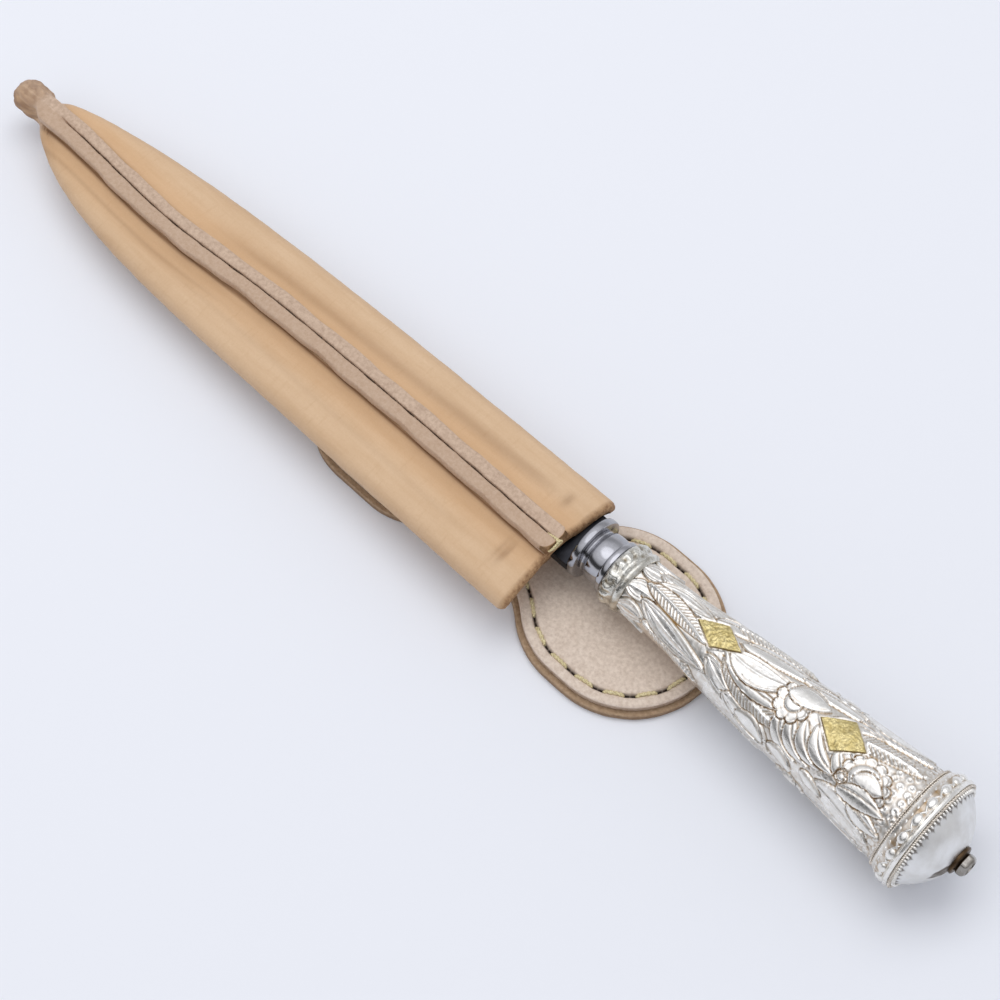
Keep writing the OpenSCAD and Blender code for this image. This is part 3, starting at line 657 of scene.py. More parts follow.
# %% Sheath mesh
lip_s, lip_inset, lip_cut = [0.0, 0.25, 0.6, 1.2], [1.1, 0.72, 0.36, 0.08], [1, 1, 0.9, 0.5]
before_end = np.array([7.4, 6.6, 5.8, 5.0, 4.2, 3.4, 2.7, 2.0, 1.4, 0.9, 0.5, 0.2, 0.05])
outer_s = np.concatenate([lip_s, np.arange(2, knob_end - 8, 0.9), knob_end - before_end])
inner_s = np.linspace(0, cavity_end, 60)
insets = lip_inset + [0.0] * (len(outer_s) - len(lip_s))
outer_rings = [place_ring(s, outer_section(s, inset)) for s, inset in zip(outer_s, insets)]
inner_rings = [place_ring(s, body_section(s, wall)) for s in inner_s]
ring_n, body_n = len(outer_rings[0]), len(inner_rings[0])
rows_out, rows_in = len(outer_s), len(inner_s)
inner_0 = ring_n * rows_out
apex_0 = inner_0 + body_n * rows_in
points = np.vstack(outer_rings + inner_rings + [
    [[-knob_end, knob_y, knob_z]], [[-cavity_end - 1, 1, knob_z]]])
faces = list(skin_faces(rows_out, ring_n))
faces += [f[::-1] for f in skin_faces(rows_in, body_n, inner_0)]
faces += [[inner_0 + i, inner_0 + i + 1, i + 1, i] for i in range(body_n - 1)]
faces += [list(range(ring_n - 1, body_n - 2, -1)) + [inner_0 + body_n - 1, inner_0, 0]]
last = inner_0 - ring_n
faces += [[apex_0, last + i, last + (i + 1) % ring_n] for i in range(ring_n)]
last = apex_0 - body_n
faces += [[apex_0 + 1, last + (i + 1) % body_n, last + i] for i in range(body_n)]
print("sheath rings", rows_out, "outside and", rows_in, "inside, of", ring_n, "and", body_n, "points")

# %% [markdown]
# Marks say what each point of the leather is: its flesh side, a stain or painted shade, a warm tone, a cut
# edge or the inside of the cavity, which gets painted shade. They are worked out from the point's place, as
# the form itself is.

# %% Marks on the sheath
ring_index = np.arange(ring_n)
on_flange = (ring_index >= body_n + 2) & (ring_index < ring_n - 2)
flesh_rings = [np.where(on_flange, 1.0, 0.0) + ease((s - cavity_end) / 6) for s in outer_s]
flesh = np.concatenate(flesh_rings + [np.zeros(body_n * rows_in), [1, 0]])
is_inner = np.arange(len(points)) >= inner_0
s_all = -points[:, 0]
inward_s = np.maximum(s_all, 0)
from_seam = points[:, 1] - seam_y(inward_s)
stain_and_shade = np.where(is_inner, 0, stain_and_shade_at(inward_s, points[:, 1]) * (1 - np.clip(flesh, 0, 1)))
warm = 0.4 * bump(np.abs(from_seam), flange_half + 1.5, 4.5) * ~is_inner
# The lower turned edge takes a fifth of the cut edges' colour, so it is a little darker than the upper one.
cut = np.where((flesh > 0.5) & (from_seam < 0) & ~is_inner, 0.2, 0.0)
knob = ease((s_all - knob_start) / 8) * ~is_inner
stain_and_shade = np.clip(stain_and_shade + knob * (0.8 + 0.7 * rough(points * [0.5, 1, 1], 0.7, 3)), 0, 1)
flesh = flesh * (1 - 0.75 * knob)
for row, share in enumerate(lip_cut):
    cut[row * ring_n:row * ring_n + body_n] = share
cut[body_n:ring_n] = 1
cut[inner_0:inner_0 + body_n] = 1
# Painted shade goes on the inside of the cavity, which is marked here.
inside = np.zeros(len(points))
inside[inner_0 + body_n:apex_0] = 1
print("share of points on the flesh side", round(float((flesh > 0.5).mean()), 2))

# %% [markdown]
# Dents are heights along the normal, so they sink in only because every face looks out of the leather.
# The two creases of the anchor stitches are pressed in, and the knob is uneven all over. A UV
# map that is unrolled along the blade lets the grain streaks follow it.

# %% Sheath piece and its dents
sheath = add_mesh("sheath_leather", lay(points), faces, 40, {
    "flesh": np.clip(flesh, 0, 1), "stain_and_shade": stain_and_shade, "cut": cut, "inside": inside, "warm": warm})
uv = sheath.data.uv_layers.new(name="surface")
corner = np.empty(len(sheath.data.loops), int)
sheath.data.loops.foreach_get("vertex_index", corner)
flat = np.stack([s_all, points[:, 1]], 1) * MM
uv.data.foreach_set("uv", flat[corner].ravel())

dents = 0.10 * rough(points, 0.16) + 0.05 * rough(points + 40, 0.5)
dents = dents - 0.3 * bump(s_all, 9.6, 1.1) * bump(points[:, 1], 12.4, 3.0)
dents = dents - 0.3 * bump(s_all, 11, 1.1) * bump(points[:, 1], -9.5, 3.2)
dents = dents + 0.42 * knob * rough(points * [0.45, 1, 1], 0.55, 3)
push_out(sheath, np.where(is_inner, 0, dents * (0.4 + 0.6 * ease(s_all / 6))))
dress(sheath, sheath_leather, "sheath", "sheath_leather", "sheath_body")

# %% [markdown]
# The belt tab is two flat leaves in the outline of a figure eight. The outline is made of arcs and
# straight stretches, so a line at any distance inside the rim is the same list with other radii. That
# gives rings for the rounded rim and the sewing groove, and the line that the stitches follow. Two
# large circles and the arc of the waist between them meet without a corner, which fixes their centres.

# %% Tab outline


def turn(radius, degrees):
    return np.array([radius * math.cos(math.radians(degrees)), radius * math.sin(math.radians(degrees))])


centre_up = np.array([upper_x - upper_flat, 0.0])
centre_low = np.array([-lower_x + lower_flat, 0.0])
span = centre_up[0] - centre_low[0]
reach_low, reach_up = lower_r + waist_r, upper_r + waist_r
waist_dx = (span ** 2 + reach_low ** 2 - reach_up ** 2) / (2 * span)
waist_c = np.array([centre_low[0] + waist_dx, math.sqrt(reach_low ** 2 - waist_dx ** 2)])
angle_up = math.degrees(math.atan2(waist_c[1], waist_c[0] - centre_up[0]))
angle_low = math.degrees(math.atan2(waist_c[1], waist_c[0] - centre_low[0]))


def tab_line(inset):
    """Half of the tab's outline as straight stretches (two points) and arcs (centre, radius, angles)."""
    ru, rl = upper_r - inset, lower_r - inset
    return [
        (np.array([upper_x + upper_flat, 0.0]), ru, 0, 90),
        (np.array([upper_x + upper_flat, ru]), np.array([upper_x - upper_flat, ru])),
        (centre_up, ru, 90, angle_up),
        (waist_c, waist_r + inset, angle_up - 180, angle_low - 180),
        (centre_low, rl, angle_low, 90),
        (np.array([-lower_x + lower_flat, rl]), np.array([-lower_x - lower_flat, rl])),
        (np.array([-lower_x - lower_flat, 0.0]), rl, 90, 180),
    ]


half_waist = float(waist_c[1] - waist_r)
print("the tab is narrowest, with", round(2 * half_waist, 1), "mm, at", round(float(waist_c[0]), 1), "mm")

# %% [markdown]
# A stretch of the outline is measured and walked along in the same way, whether it is straight or an
# arc. The number of points on each comes from the rim itself, so all the rings have equally many.

# %% Rings of the tab


def stretch_len(g):
    return float(np.linalg.norm(g[1] - g[0])) if len(g) == 2 else abs(g[3] - g[2]) * math.pi / 180 * g[1]


def stretch_at(g, t):
    return mix(g[0], g[1], t) if len(g) == 2 else g[0] + turn(g[1], mix(g[2], g[3], t))


def tab_half(inset, step=0.45):
    """Points of one half of the rim. Their number doesn't depend on the inset."""
    points = []
    for stretch, rim in zip(tab_line(inset), tab_line(0)):
        count = max(1, round(stretch_len(rim) / step))
        points += [stretch_at(stretch, i / count) for i in range(count)]
    return np.array(points + [stretch_at(tab_line(inset)[-1], 1)])


def tab_ring(inset):
    half = tab_half(inset)
    return np.vstack([half, half[-2:0:-1] * [1, -1]])


# %% [markdown]
# A hand stitcher marks an even pitch along the groove. Each stitch shows as a run of thread between
# two awl holes, and the gap to the next one lies on the other face. Every hole is kept with a point
# beside it, on the side that the thread leaves, which gives the slanted pull of the leather there.

# %% Stitch places
stitch_line = tab_line(stitch_inset)
line_len = sum(stretch_len(g) for g in stitch_line)
stitch_count = int(line_len / stitch_pitch)
stitch_step = line_len / stitch_count


def line_at(distance):
    for stretch in stitch_line:
        length = stretch_len(stretch)
        if distance <= length or stretch is stitch_line[-1]:
            return stretch_at(stretch, distance / length)
        distance -= length


holes = []
for k in range(stitch_count):
    first = (k + (1 - stitch_share) / 2) * stitch_step
    after = first + stitch_share * stitch_step
    holes += [(line_at(first), line_at(first - 1)), (line_at(after), line_at(after + 1))]
holes = [(a * m, b * m) for a, b in holes for m in ([1, 1], [1, -1])]
print("stitches on each side", stitch_count, "of", round(stitch_step, 2), "mm")

# %% [markdown]
# A leaf is a stack of rings from its lower rim over the rounded edge to its upper face, and a
# grid of quads that fills the middle. Points on the upper face sink at the groove and the holes.

# %% Filling of a leaf


def hole_depth(xy):
    """How deep the awl holes press the leather, from 0 to 1, at places on the tab."""
    depth = np.zeros(len(xy))
    for a, b in holes:
        run = (b - a) / np.linalg.norm(b - a)
        d = xy - a
        lengthwise = d @ run
        sideways = d @ np.array([-run[1], run[0]])
        depth = np.maximum(depth, np.exp(-((lengthwise - 0.6) / 1.25) ** 4 - (sideways / 0.5) ** 2))
    return depth


def fill_leaf(rings, columns=34):
    """Skins the rings of a leaf, fills its top with a grid between both halves and closes its bottom."""
    count, half = len(rings[0]), len(rings[0]) // 2
    last = (len(rings) - 1) * count
    top = rings[-1]
    points = list(np.vstack(rings))
    faces = list(skin_faces(len(rings), count))
    grid = [[last, last]]
    for i in range(1, half):
        row = [last + i]
        for c in range(1, columns):
            row.append(len(points))
            points.append(mix(top[i], top[count - i], c / columns))
        grid.append(row + [last + count - i])
    grid.append([last + half, last + half])
    for left, right in zip(grid, grid[1:]):
        if len(left) == 2:
            faces += [[a, b, left[0]] for a, b in zip(right, right[1:])]
        elif len(right) == 2:
            faces += [[right[0], b, a] for a, b in zip(left, left[1:])]
        else:
            faces += [[right[c], right[c + 1], left[c + 1], left[c]] for c in range(columns)]
    faces.append(list(range(count))[::-1])
    return np.array(points), faces


# %% [markdown]
# The inner leaf is smaller and carries the groove on its pale flesh side. The outer leaf lies on the
# table and shows only as a darker rim. Both come from one function with other sizes.

# %% Tab leaves
BEYOND_RINGS = 12.0


def tab_leaf(name, low, high, rim, groove_depth):
    """A flat leather leaf with a rounded rim and a sewing groove on one face."""
    half_t = (high - low) / 2
    side = [(1.0, low), (0.35, low), (0.06, low + 0.25), (0.0, low + 0.6), (0.0, low + half_t),
            (0.0, high - 0.75), (0.1, high - 0.4), (0.32, high - 0.14), (0.7, high)]
    lines = [(rim + a, z) for a, z in side]
    lines += [(a, high) for a in np.arange(rim + 1.0, 10.4, 0.3)]
    rings = [np.column_stack([tab_ring(inset), np.full(len(tab_ring(inset)), z)]) for inset, z in lines]
    points, faces = fill_leaf(rings)
    inset = np.full(len(points), BEYOND_RINGS)
    inset[:len(lines) * len(rings[0])] = np.repeat([a for a, z in lines], len(rings[0]))
    upper = points[:, 2] > high - 0.01
    hole = np.where(upper, hole_depth(points[:, :2]), 0)
    points[:, 2] -= np.where(upper, groove_depth * bump(inset, stitch_inset, 0.62), 0)
    points[:, 2] -= 0.9 * hole
    points[:, 2] -= np.where(upper, 0.12 * (1 + rough(points, 0.11)), 0)
    rim_wave = rough(points * [1, 1, 0], 0.2)
    points[:, :2] *= 1 - (0.002 * rim_wave * (inset < rim + 1))[:, None]
    points[:, 1] += tab_y
    edge = np.clip(1 - (inset - rim) / 0.5, 0, 1) * ease((high - 0.35 - points[:, 2]) / 0.5)
    none = np.zeros(len(points))
    # Painted shade in the awl holes: the deeper a hole, the darker its colour.
    dark = np.clip(hole * 1.5 - 0.2, 0, 1)
    return add_mesh(name, lay_flat(points), faces, 50, {
        "flesh": none + 1, "stain_and_shade": none, "cut": edge, "inside": none, "hole": dark})


inner_leaf = tab_leaf("tab_inner_leaf_leather", leaf_t, 2 * leaf_t, 1.5, 0.5)
dress(inner_leaf, tab_flesh, "sheath", "flesh_leather", "tab_inner_leaf")
outer_leaf = tab_leaf("tab_outer_leaf_leather", 0, leaf_t, 0, 0.0)
dress(outer_leaf, tab_edge, "sheath", "edge_leather", "tab_outer_leaf")

# %% [markdown]
# The handle's silver is worked over a form in relief. A relief is easiest as a height for
# every place on a fine grid round the handle: leaves, feathers and flowers are painted onto it one
# over another, each with a soft cushion of height and a sunk line round it. The same grid then gives
# the hollows, where polish leaves the silver brownish.

# %% Form of the handle


def swell(t):
    """The handle's radius at a share of its length: slim at the neck and wider at the pommel."""
    widen = 0.86 * np.clip(t, 0, 1) ** 1.35 + 0.14 * ease((t - 0.22) / 0.14)
    return neck_r + (shell_end_r - neck_r) * widen


def round_axis(x, radius, degrees):
    """Points of the knife frame at a radius round the handle's axis, zero degrees facing up."""
    a = np.radians(degrees)
    return np.stack([x, axis_y + radius * np.sin(a), radius * np.cos(a)], -1).reshape(-1, 3)


# %% [markdown]
# The painter keeps two grids, the height and the hollow. A leaf is placed by its two ends, a flower by
# its middle. Each first sinks a line round itself and then covers what lies under it, so the later
# ones overlap the earlier, as beaten silver does. Four kinds of leaf differ in how they are filled.

# %% Relief painter
DEGREES_PER_RADIAN = 57.3


class Relief:
    """Heights in millimetres over a grid of places: x along the handle, and degrees round it."""

    def __init__(self, x, degrees):
        self.x, self.degrees = x, degrees
        self.radius = swell(x / shell_len)
        self.grit = rough(round_axis(x, self.radius, degrees), 0.9, 3).reshape(x.shape)
        self.height = -0.18 + 0.06 * self.grit
        self.hollow = np.clip(0.12 - 0.25 * self.grit, 0, 0.4)

    def local(self, x0, d0):
        """Distances in millimetres from a place, along the handle and round it."""
        turn_part = (self.degrees - d0 + 180) % 360 - 180
        return self.x - x0, np.radians(turn_part) * self.radius

    def paint(self, cover, height, hollow):
        self.height = mix(self.height, height, cover)
        self.hollow = mix(self.hollow, hollow, cover)

    def leaf(self, start, end, width, bend, kind="cup", high=0.4):
        """A leaf from one place to another. Bend bows it sideways, in millimetres."""
        x, y = self.local(*start)
        r = float(swell((start[0] + end[0]) / 2 / shell_len))
        end_y = math.radians(end[1] - start[1]) * r
        length = math.hypot(end[0] - start[0], end_y)
        run = np.array([end[0] - start[0], end_y]) / length
        u = (x * run[0] + y * run[1]) / length
        v = -x * run[1] + y * run[0] - bend * 4 * u * (1 - u)
        half = width / 2 * np.clip(np.sin(np.pi * np.clip(u, 0, 1) ** 0.8), 0, 1) ** 0.7
        across = np.abs(v)
        share = across / np.maximum(half, 0.05)
        inside_leaf = (u > 0) & (u < 1) & (half > 0.05)
        body = np.where(inside_leaf, np.sqrt(np.clip(1 - share ** 2, 0, 1)), 0)
        cover = np.where(inside_leaf, ease((1.0 - share) * half / 0.28), 0)
        line = np.where((u > -0.03) & (u < 1.03), ease(1 - np.abs(across - half - 0.1) / 0.26), 0)
        self.paint(line * 0.95, -0.36, 1.0)
        rim = bump(across, half - 0.46, 0.36)
        rib = bump(v, 0, 0.3) * ease((half - 0.8) / 0.4)
        if kind == "cup":
            second = bump(across, half - 1.3, 0.2) * ease((half - 1.6) / 0.5)
            height = -0.02 + 0.14 * body + high * (rim + 0.55 * second + 0.6 * rib) + 0.05 * self.grit
            hollow = np.clip(0.3 * bump(across, half - 0.9, 0.2) + 0.2 * bump(across, 0.55, 0.2)
                             - 0.2 * self.grit, 0, 1)
        elif kind == "feather":
            wave = np.cos(2 * np.pi * (u * length - across * 0.9) / 1.25)
            cuts = ease((0.25 - wave) * 1.4) * ease((across - 0.25) / 0.3)
            height = high * (0.3 + 0.65 * body) - 0.34 * cuts + 0.35 * rib
            hollow = 0.45 * cuts
        elif kind == "bud":
            groove = bump(across, half - 0.75, 0.18) * ease((half - 1.2) / 0.4)
            height = high * (0.1 + 1.1 * body ** 0.7) - 0.14 * groove + 0.04 * self.grit
            hollow = 0.5 * groove
        else:
            groove = bump(v, 0.12 * width, 0.2) * ease((half - 0.5) / 0.4)
            height = high * (0.25 + 0.75 * body ** 0.8) - 0.3 * groove
            hollow = 0.6 * groove
        self.paint(cover, height, np.clip(hollow, 0, 1))

    def flower(self, x0, d0, radius, petals, turn_by=0.0, inner=0.5, squash=1.0, high=0.5):
        """Scalloped petals with raised rims round a domed eye."""
        x, y = self.local(x0, d0)
        x = x / squash
        r = np.hypot(x, y)
        a = np.arctan2(y, x) + math.radians(turn_by)
        lobe = np.abs(np.cos(a * petals / 2))
        edge = radius * (0.8 + 0.2 * lobe ** 0.55)
        cover = ease((edge - r) / 0.25)
        self.paint(ease(1 - np.abs(r - edge - 0.14) / 0.3), -0.38, 1.0)
        rim = bump(r, edge - 0.45, 0.3)
        valley = ease(1 - lobe / 0.3) * ease((r / edge - inner) * 6)
        height = 0.05 + 0.12 * (1 - r / edge) + high * 0.8 * rim - 0.3 * valley + 0.04 * self.grit
        self.paint(cover, height, np.clip(0.55 * valley + 0.25 * bump(r, edge - 1.0, 0.22), 0, 1))
        eye = r / (radius * inner)
        self.paint(ease(1 - np.abs(r - radius * inner) / 0.3), -0.2, 0.8)
        self.paint(ease((1 - eye) * 4), 0.05 + high * np.sqrt(np.clip(1.02 - eye ** 2, 0, 1)), 0.02)

    def rings(self, x_range, d_range, size, step, seed):
        """Small punched rings on the ground."""
        random = np.random.default_rng(seed)
        for x0 in np.arange(x_range[0], x_range[1], step):
            around = step / float(swell(x0 / shell_len)) * DEGREES_PER_RADIAN
            for d0 in np.arange(d_range[0], d_range[1], around):
                x, y = self.local(x0 + random.uniform(-0.25, 0.25) * step,
                                  d0 + random.uniform(-0.25, 0.25) * around)
                r = np.hypot(x, y)
                self.height += 0.26 * bump(r, size, 0.24) - 0.1 * bump(r, 0, 0.3)
                change = 0.25 * bump(r, size + 0.5, 0.25) - 0.3 * bump(r, size, 0.2)
                self.hollow = np.clip(self.hollow + change, 0, 1)


# %% [markdown]
# The ornament is listed once and painted twice, half a turn apart, so both faces of the handle have
# it. Places are millimetres from the neck and degrees round the handle. The ground near the pommel is
# punched with small rings first, and the leaves are laid over it.

# %% Ornament
rows, columns = 331, 280
around = np.arange(columns) * 360 / columns - 180
grid_x, grid_d = np.meshgrid(np.linspace(0, shell_len, rows), around, indexing="ij")
work = Relief(grid_x, grid_d)
work.rings((92, 100), (-180, 180), size=0.75, step=2.4, seed=4)


def ornament(d):
    """The ornament of one side of the handle, round the angle d."""
    for k in range(4):
        work.leaf((6, d - 78 + 46 * k), (16, d - 70 + 46 * k), 6.0, 0.5)
    work.leaf((11, d + 28), (36, d + 46), 6.4, -1.4)
    work.leaf((15, d - 70), (36, d - 90), 5.6, 1.0, "feather")
    work.leaf((12, d - 34), (38, d - 60), 6.4, -1.2)
    work.leaf((30, d + 14), (44, d + 36), 4.6, 1.0, "plume")
    work.leaf((12, d + 1), (31.5, d + 14), 5.6, 1.2)
    work.leaf((10.5, d - 5), (33, d - 27), 5.4, 0.9, "feather")
    work.leaf((36, d + 34), (60, d + 56), 6.8, 1.4, "feather")
    work.leaf((40, d + 12), (63, d + 36), 5.4, 1.2, "plume")
    work.leaf((35, d - 32), (54, d - 60), 6.4, -1.6)
    work.leaf((44, d - 60), (63, d - 88), 7.4, 1.4)
    work.leaf((39, d - 20), (65, d - 44), 6.6, -1.8, "feather")
    work.leaf((38, d - 10), (62, d - 20), 4.0, -2.8, "plume")
    work.leaf((39.5, d - 8), (59, d + 10), 7.8, -1.6)
    work.leaf((58, d + 30), (78, d + 46), 5.2, 1.2, "plume")
    work.leaf((60, d + 22), (80, d + 34), 4.6, 1.6, "plume")
    work.leaf((76, d + 32), (97, d + 44), 6.4, 1.4)
    work.leaf((74, d + 54), (96, d + 66), 6.4, -1.4, "plume")
    work.flower(70, d + 66, 5.4, 7, 10)
    work.leaf((76, d - 66), (97, d - 86), 8.4, 1.0)
    work.leaf((86, d - 50), (98, d - 62), 5.0, -0.8, "plume")
    for k in range(4):
        work.leaf((59 + 3.3 * k, d - 20 + 3.5 * k), (70 + 3.6 * k, d - 66 + 8 * k), 4.4, -2.6, "plume")
    work.leaf((70, d + 8), (86, d + 24), 4.0, 1.4, "plume")
    work.leaf((76, d + 2), (97, d + 20), 5.6, 1.2, "feather")
    work.leaf((76.5, d - 16), (85, d - 44), 3.8, -1.0, "plume")
    work.leaf((79.5, d - 8), (88, d - 20), 3.6, 0.6, "plume")
    work.leaf((49.5, d - 68), (60, d - 80), 5.4, 0.9, "bud")
    work.leaf((61, d - 70), (70, d - 84), 4.4, 0.6, "bud")
    work.leaf((72, d - 66), (80, d - 76), 4.0, -0.5, "bud")
    work.flower(60.5, d - 6, 5.8, 9, 20, 0.5, 0.9)
    work.leaf((57.5, d + 1), (69, d + 14), 6.4, 0.8, "bud")
    work.flower(87, d - 27, 6.9, 12, 12, 0.66, 1.05)
    work.leaf((84, d - 28), (92.6, d - 25), 5.6, 0.3, "bud", 0.5)
    work.flower(81.6, d - 38, 1.7, 5, 0, 0.6, 1.0, 0.4)
    work.leaf((82, d - 50), (96, d - 42), 5.4, 0.8, "plume")


ornament(0)
ornament(180)
print("relief from", round(float(work.height.min()), 2), "to", round(float(work.height.max()), 2), "mm")

# %% [markdown]
# Under each gold lozenge the silver is flat, with a low rim round the plate's edge. The handle's two
# ends fade to a plain band, where the ferrule and the collar sit on the sheet.

# %% Beds for the gold lozenges
neck_share, pommel_share = 0.34, 0.745
lozenge_len, lozenge_w_neck, lozenge_w_pommel = 14.5, 7.9, 10.6
for share, width in ((neck_share, lozenge_w_neck), (pommel_share, lozenge_w_pommel)):
    for d0 in (0, 180):
        x, y = work.local(share * shell_len, d0)
        inside_plate = 1 - np.abs(x) / (lozenge_len / 2 + 0.65) - np.abs(y) / (width / 2 + 0.6)
        work.paint(ease(inside_plate * 6 + 0.4), -0.05, 0.6)
        work.paint(ease(1 - np.abs(inside_plate) * 14), 0.2, 0.1)
ends = ease(work.x / 3.5) * ease((shell_len - work.x) / 1.2)
work.height = mix(np.full_like(work.height, -0.05), work.height, ends)
print("ornament covers", rows, "by", columns, "places")

# %% [markdown]
# The height grid becomes the sleeve's outer face. Four rings inside make its smooth lining, one sheet's
# thickness in, and the last ring is joined to the first, so the shell is a closed solid with an open bore.

# %% Handle shell mesh
outer = round_axis(shell_x + grid_x, work.radius + work.height, grid_d)
lining_x = [shell_len, shell_len * 0.66, shell_len * 0.33, 0]
inner = np.vstack([round_axis(np.full(columns, shell_x + x), swell(x / shell_len) - sheet_t, around)
                   for x in lining_x])
shell_points = np.vstack([outer, inner])
shell_rows = rows + len(lining_x)
shell_faces = np.vstack([skin_faces(shell_rows, columns), close_faces(shell_rows, columns)])
hollow = np.concatenate([work.hollow.ravel(), np.ones(len(inner))])
shell = add_mesh("handle_silver", lay(shell_points), [f[::-1] for f in shell_faces], 60, {"hollow": hollow})
dress(shell, silver, "knife", "silver", "handle_shell")

# %% [markdown]
# The turned pieces are one outline spun round the handle's axis: the bolster, the ferrule, the collar
# and the dome. A Screw or Spin modifier could do the same, but the rings of points are already at hand,
# and a height and a hollow for each point are then easy to add.

# %% Turned pieces


def turned(name, outline, segments=144, sharp=30, lumps=None, hollow=None):
    """A closed outline of (x, radius) spun round the axis, with a height and a hollow for each point."""
    outline = np.asarray(outline, float)
    degrees = np.arange(segments) * 360 / segments
    points = np.vstack([round_axis(np.full(segments, x), np.full(segments, r), degrees) for x, r in outline])
    faces = np.vstack([skin_faces(len(outline), segments), close_faces(len(outline), segments)])
    marks = {"hollow": hollow(points)} if hollow else None
    piece = add_mesh(name, lay(points), [f[::-1] for f in faces], sharp, marks)
    if lumps:
        push_out(piece, lumps(points))
    return piece


# %% [markdown]
# The bolster joins the blade to the handle: a guard disc, a hollow, a round barrel and an end ring. Its
# outline has points only where the form turns, and half a wave for the barrel.

# %% Bolster
disc_t, hollow_r, barrel_r, ring_r, ring_t = 2.2, 6.4, 7.4, 8.1, 1.9
barrel_0, barrel_1, barrel_foot = disc_t + 1.4, bolster_len - ring_t, hollow_r + 0.4
barrel = [(mix(barrel_0, barrel_1, (1 - math.cos(a)) / 2), mix(barrel_foot, barrel_r, math.sin(a)))
          for a in np.radians(range(0, 181, 9))]
bolster_line = [(0, 2.2), (0, guard_r - 0.45), (0.12, guard_r - 0.12), (0.45, guard_r),
                (disc_t - 0.5, guard_r), (disc_t - 0.15, guard_r - 0.15), (disc_t, guard_r - 0.5),
                (disc_t + 0.15, hollow_r + 0.6), (disc_t + 0.35, hollow_r + 0.15), (disc_t + 0.7, hollow_r),
                (barrel_0 - 0.2, hollow_r + 0.1)] + barrel + [
    (barrel_1 + 0.1, ring_r - 0.45), (barrel_1 + 0.25, ring_r - 0.12), (barrel_1 + 0.5, ring_r),
    (bolster_len - 0.45, ring_r), (bolster_len - 0.15, ring_r - 0.12), (bolster_len, ring_r - 0.4),
    (bolster_len, 2.2)]
bolster = turned("bolster_steel", [(guard_gap + x, r) for x, r in bolster_line])
dress(bolster, bolster_steel, "knife", "bolster_steel", "bolster")

# %% [markdown]
# The ferrule is a short band of lumpy silver over the sleeve's neck. Seventeen uneven lumps go round
# it, with noise between them, and the hollows are where the height is low.

# %% Neck ferrule


def ferrule_lumps(points):
    x = points[:, 0] - shell_x
    a = np.arctan2(points[:, 1] - axis_y, points[:, 2])
    lumps = 0.22 * np.sin(17 * a + 0.9 * np.sin(5 * a)) * bump(x, 1.9, 1.4)
    return lumps + 0.26 * rough(points, 0.8, 3) * bump(x, 2.6, 2.6)


def ferrule_hollow(points):
    return np.clip(0.1 - 2.6 * ferrule_lumps(points) + 0.5 * rough(points + 9, 0.5, 2), 0, 1) * 0.9


inner_r = float(swell(ferrule_len / shell_len)) + 0.05
swells = [(0, 0.4), (0.5, 1.0), (1.5, 1.3), (2.8, 1.2), (3.8, 0.85), (4.6, 0.95), (5.2, 1.3), (5.8, 1.3),
          (6.4, 0.9), (ferrule_len, 0.5)]
line = smooth_line([(x, inner_r + out) for x, out in swells], 44)
ferrule_line = [(0, inner_r)] + [tuple(p) for p in line] + [(ferrule_len, inner_r)]
ferrule = turned("neck_ferrule_silver", [(shell_x + x, r) for x, r in ferrule_line], 200, 60,
                 ferrule_lumps, ferrule_hollow)
dress(ferrule, ferrule_silver, "knife", "ferrule_silver", "neck_ferrule")

# %% [markdown]
# The collar is a flared band with a thick rim. It carries the beads, so its own ground is plain and
# brownish between them. The knife rests on this rim when it lies on the table.

# %% Pommel collar
band_r, rim_x = collar_r - 0.8, collar_len - rim_len
collar_line = [(-1, shell_end_r + 0.45), (-1, shell_end_r + 0.9), (0.0, band_r - 0.45), (0.55, band_r),
               (rim_x - 0.6, band_r), (rim_x - 0.2, band_r + 0.15), (rim_x, collar_r - 0.25),
               (rim_x + 0.25, collar_r), (collar_len - 0.6, collar_r), (collar_len - 0.2, collar_r - 0.2),
               (collar_len, collar_r - 0.5),
               (collar_len, dome_r + 0.05), (1.5, dome_r + 0.05), (1.5, shell_end_r - 2),
               (0.05, shell_end_r - 2), (0.05, shell_end_r + 0.45)]


def band_hollow(points):
    x = points[:, 0] - collar_x
    r = np.hypot(points[:, 1] - axis_y, points[:, 2])
    ground = ease((x + 0.2) / 0.3) * (1 - ease((x - rim_x + 0.5) / 0.2)) * (r > dome_r)
    return np.clip(ground * (0.55 + 0.6 * rough(points, 0.7, 2)), 0, 1)


def collar_lumps(points):
    return 0.03 * rough(points, 0.8, 2)


collar = turned("pommel_collar_band", [(collar_x + x, r) for x, r in collar_line], 200, 30,
                collar_lumps, band_hollow)
dress(collar, silver, "knife", "silver", "pommel_collar")

# %% [markdown]
# The dome is a cap of a sphere, smooth and satin. Brown patina lies round the washer in five soft
# petals, and one long dark wedge runs out from them. Along its foot, the notches between small teeth
# are darkened as painted shade.

# %% Pommel dome
WEDGE_AT, WEDGE_HALF = -1.6, 0.72


def dome_patina_and_shade(points):
    out = np.hypot(points[:, 1] - axis_y, points[:, 2])
    a = np.arctan2(points[:, 1] - axis_y, points[:, 2])
    off = (a - WEDGE_AT + math.pi) % (2 * math.pi) - math.pi
    wedge = 5.6 * np.clip(1 - np.abs(off) / WEDGE_HALF, 0, 1)
    edge = 4.2 + 0.7 * np.cos(5 * a) + wedge + 0.6 * rough(points, 0.5, 2)
    petal = ease((edge - out) / 1.1) * (0.8 + 0.2 * rough(points, 0.8, 2))
    # Painted shade in the notches between the teeth along the dome's foot.
    teeth = ease((out - dome_r + 1.25 - 0.55 * np.abs(np.sin(20 * a))) / 0.3)
    return np.clip(petal + 0.75 * teeth + 0.1 * rough(points, 0.2, 2), 0, 1)


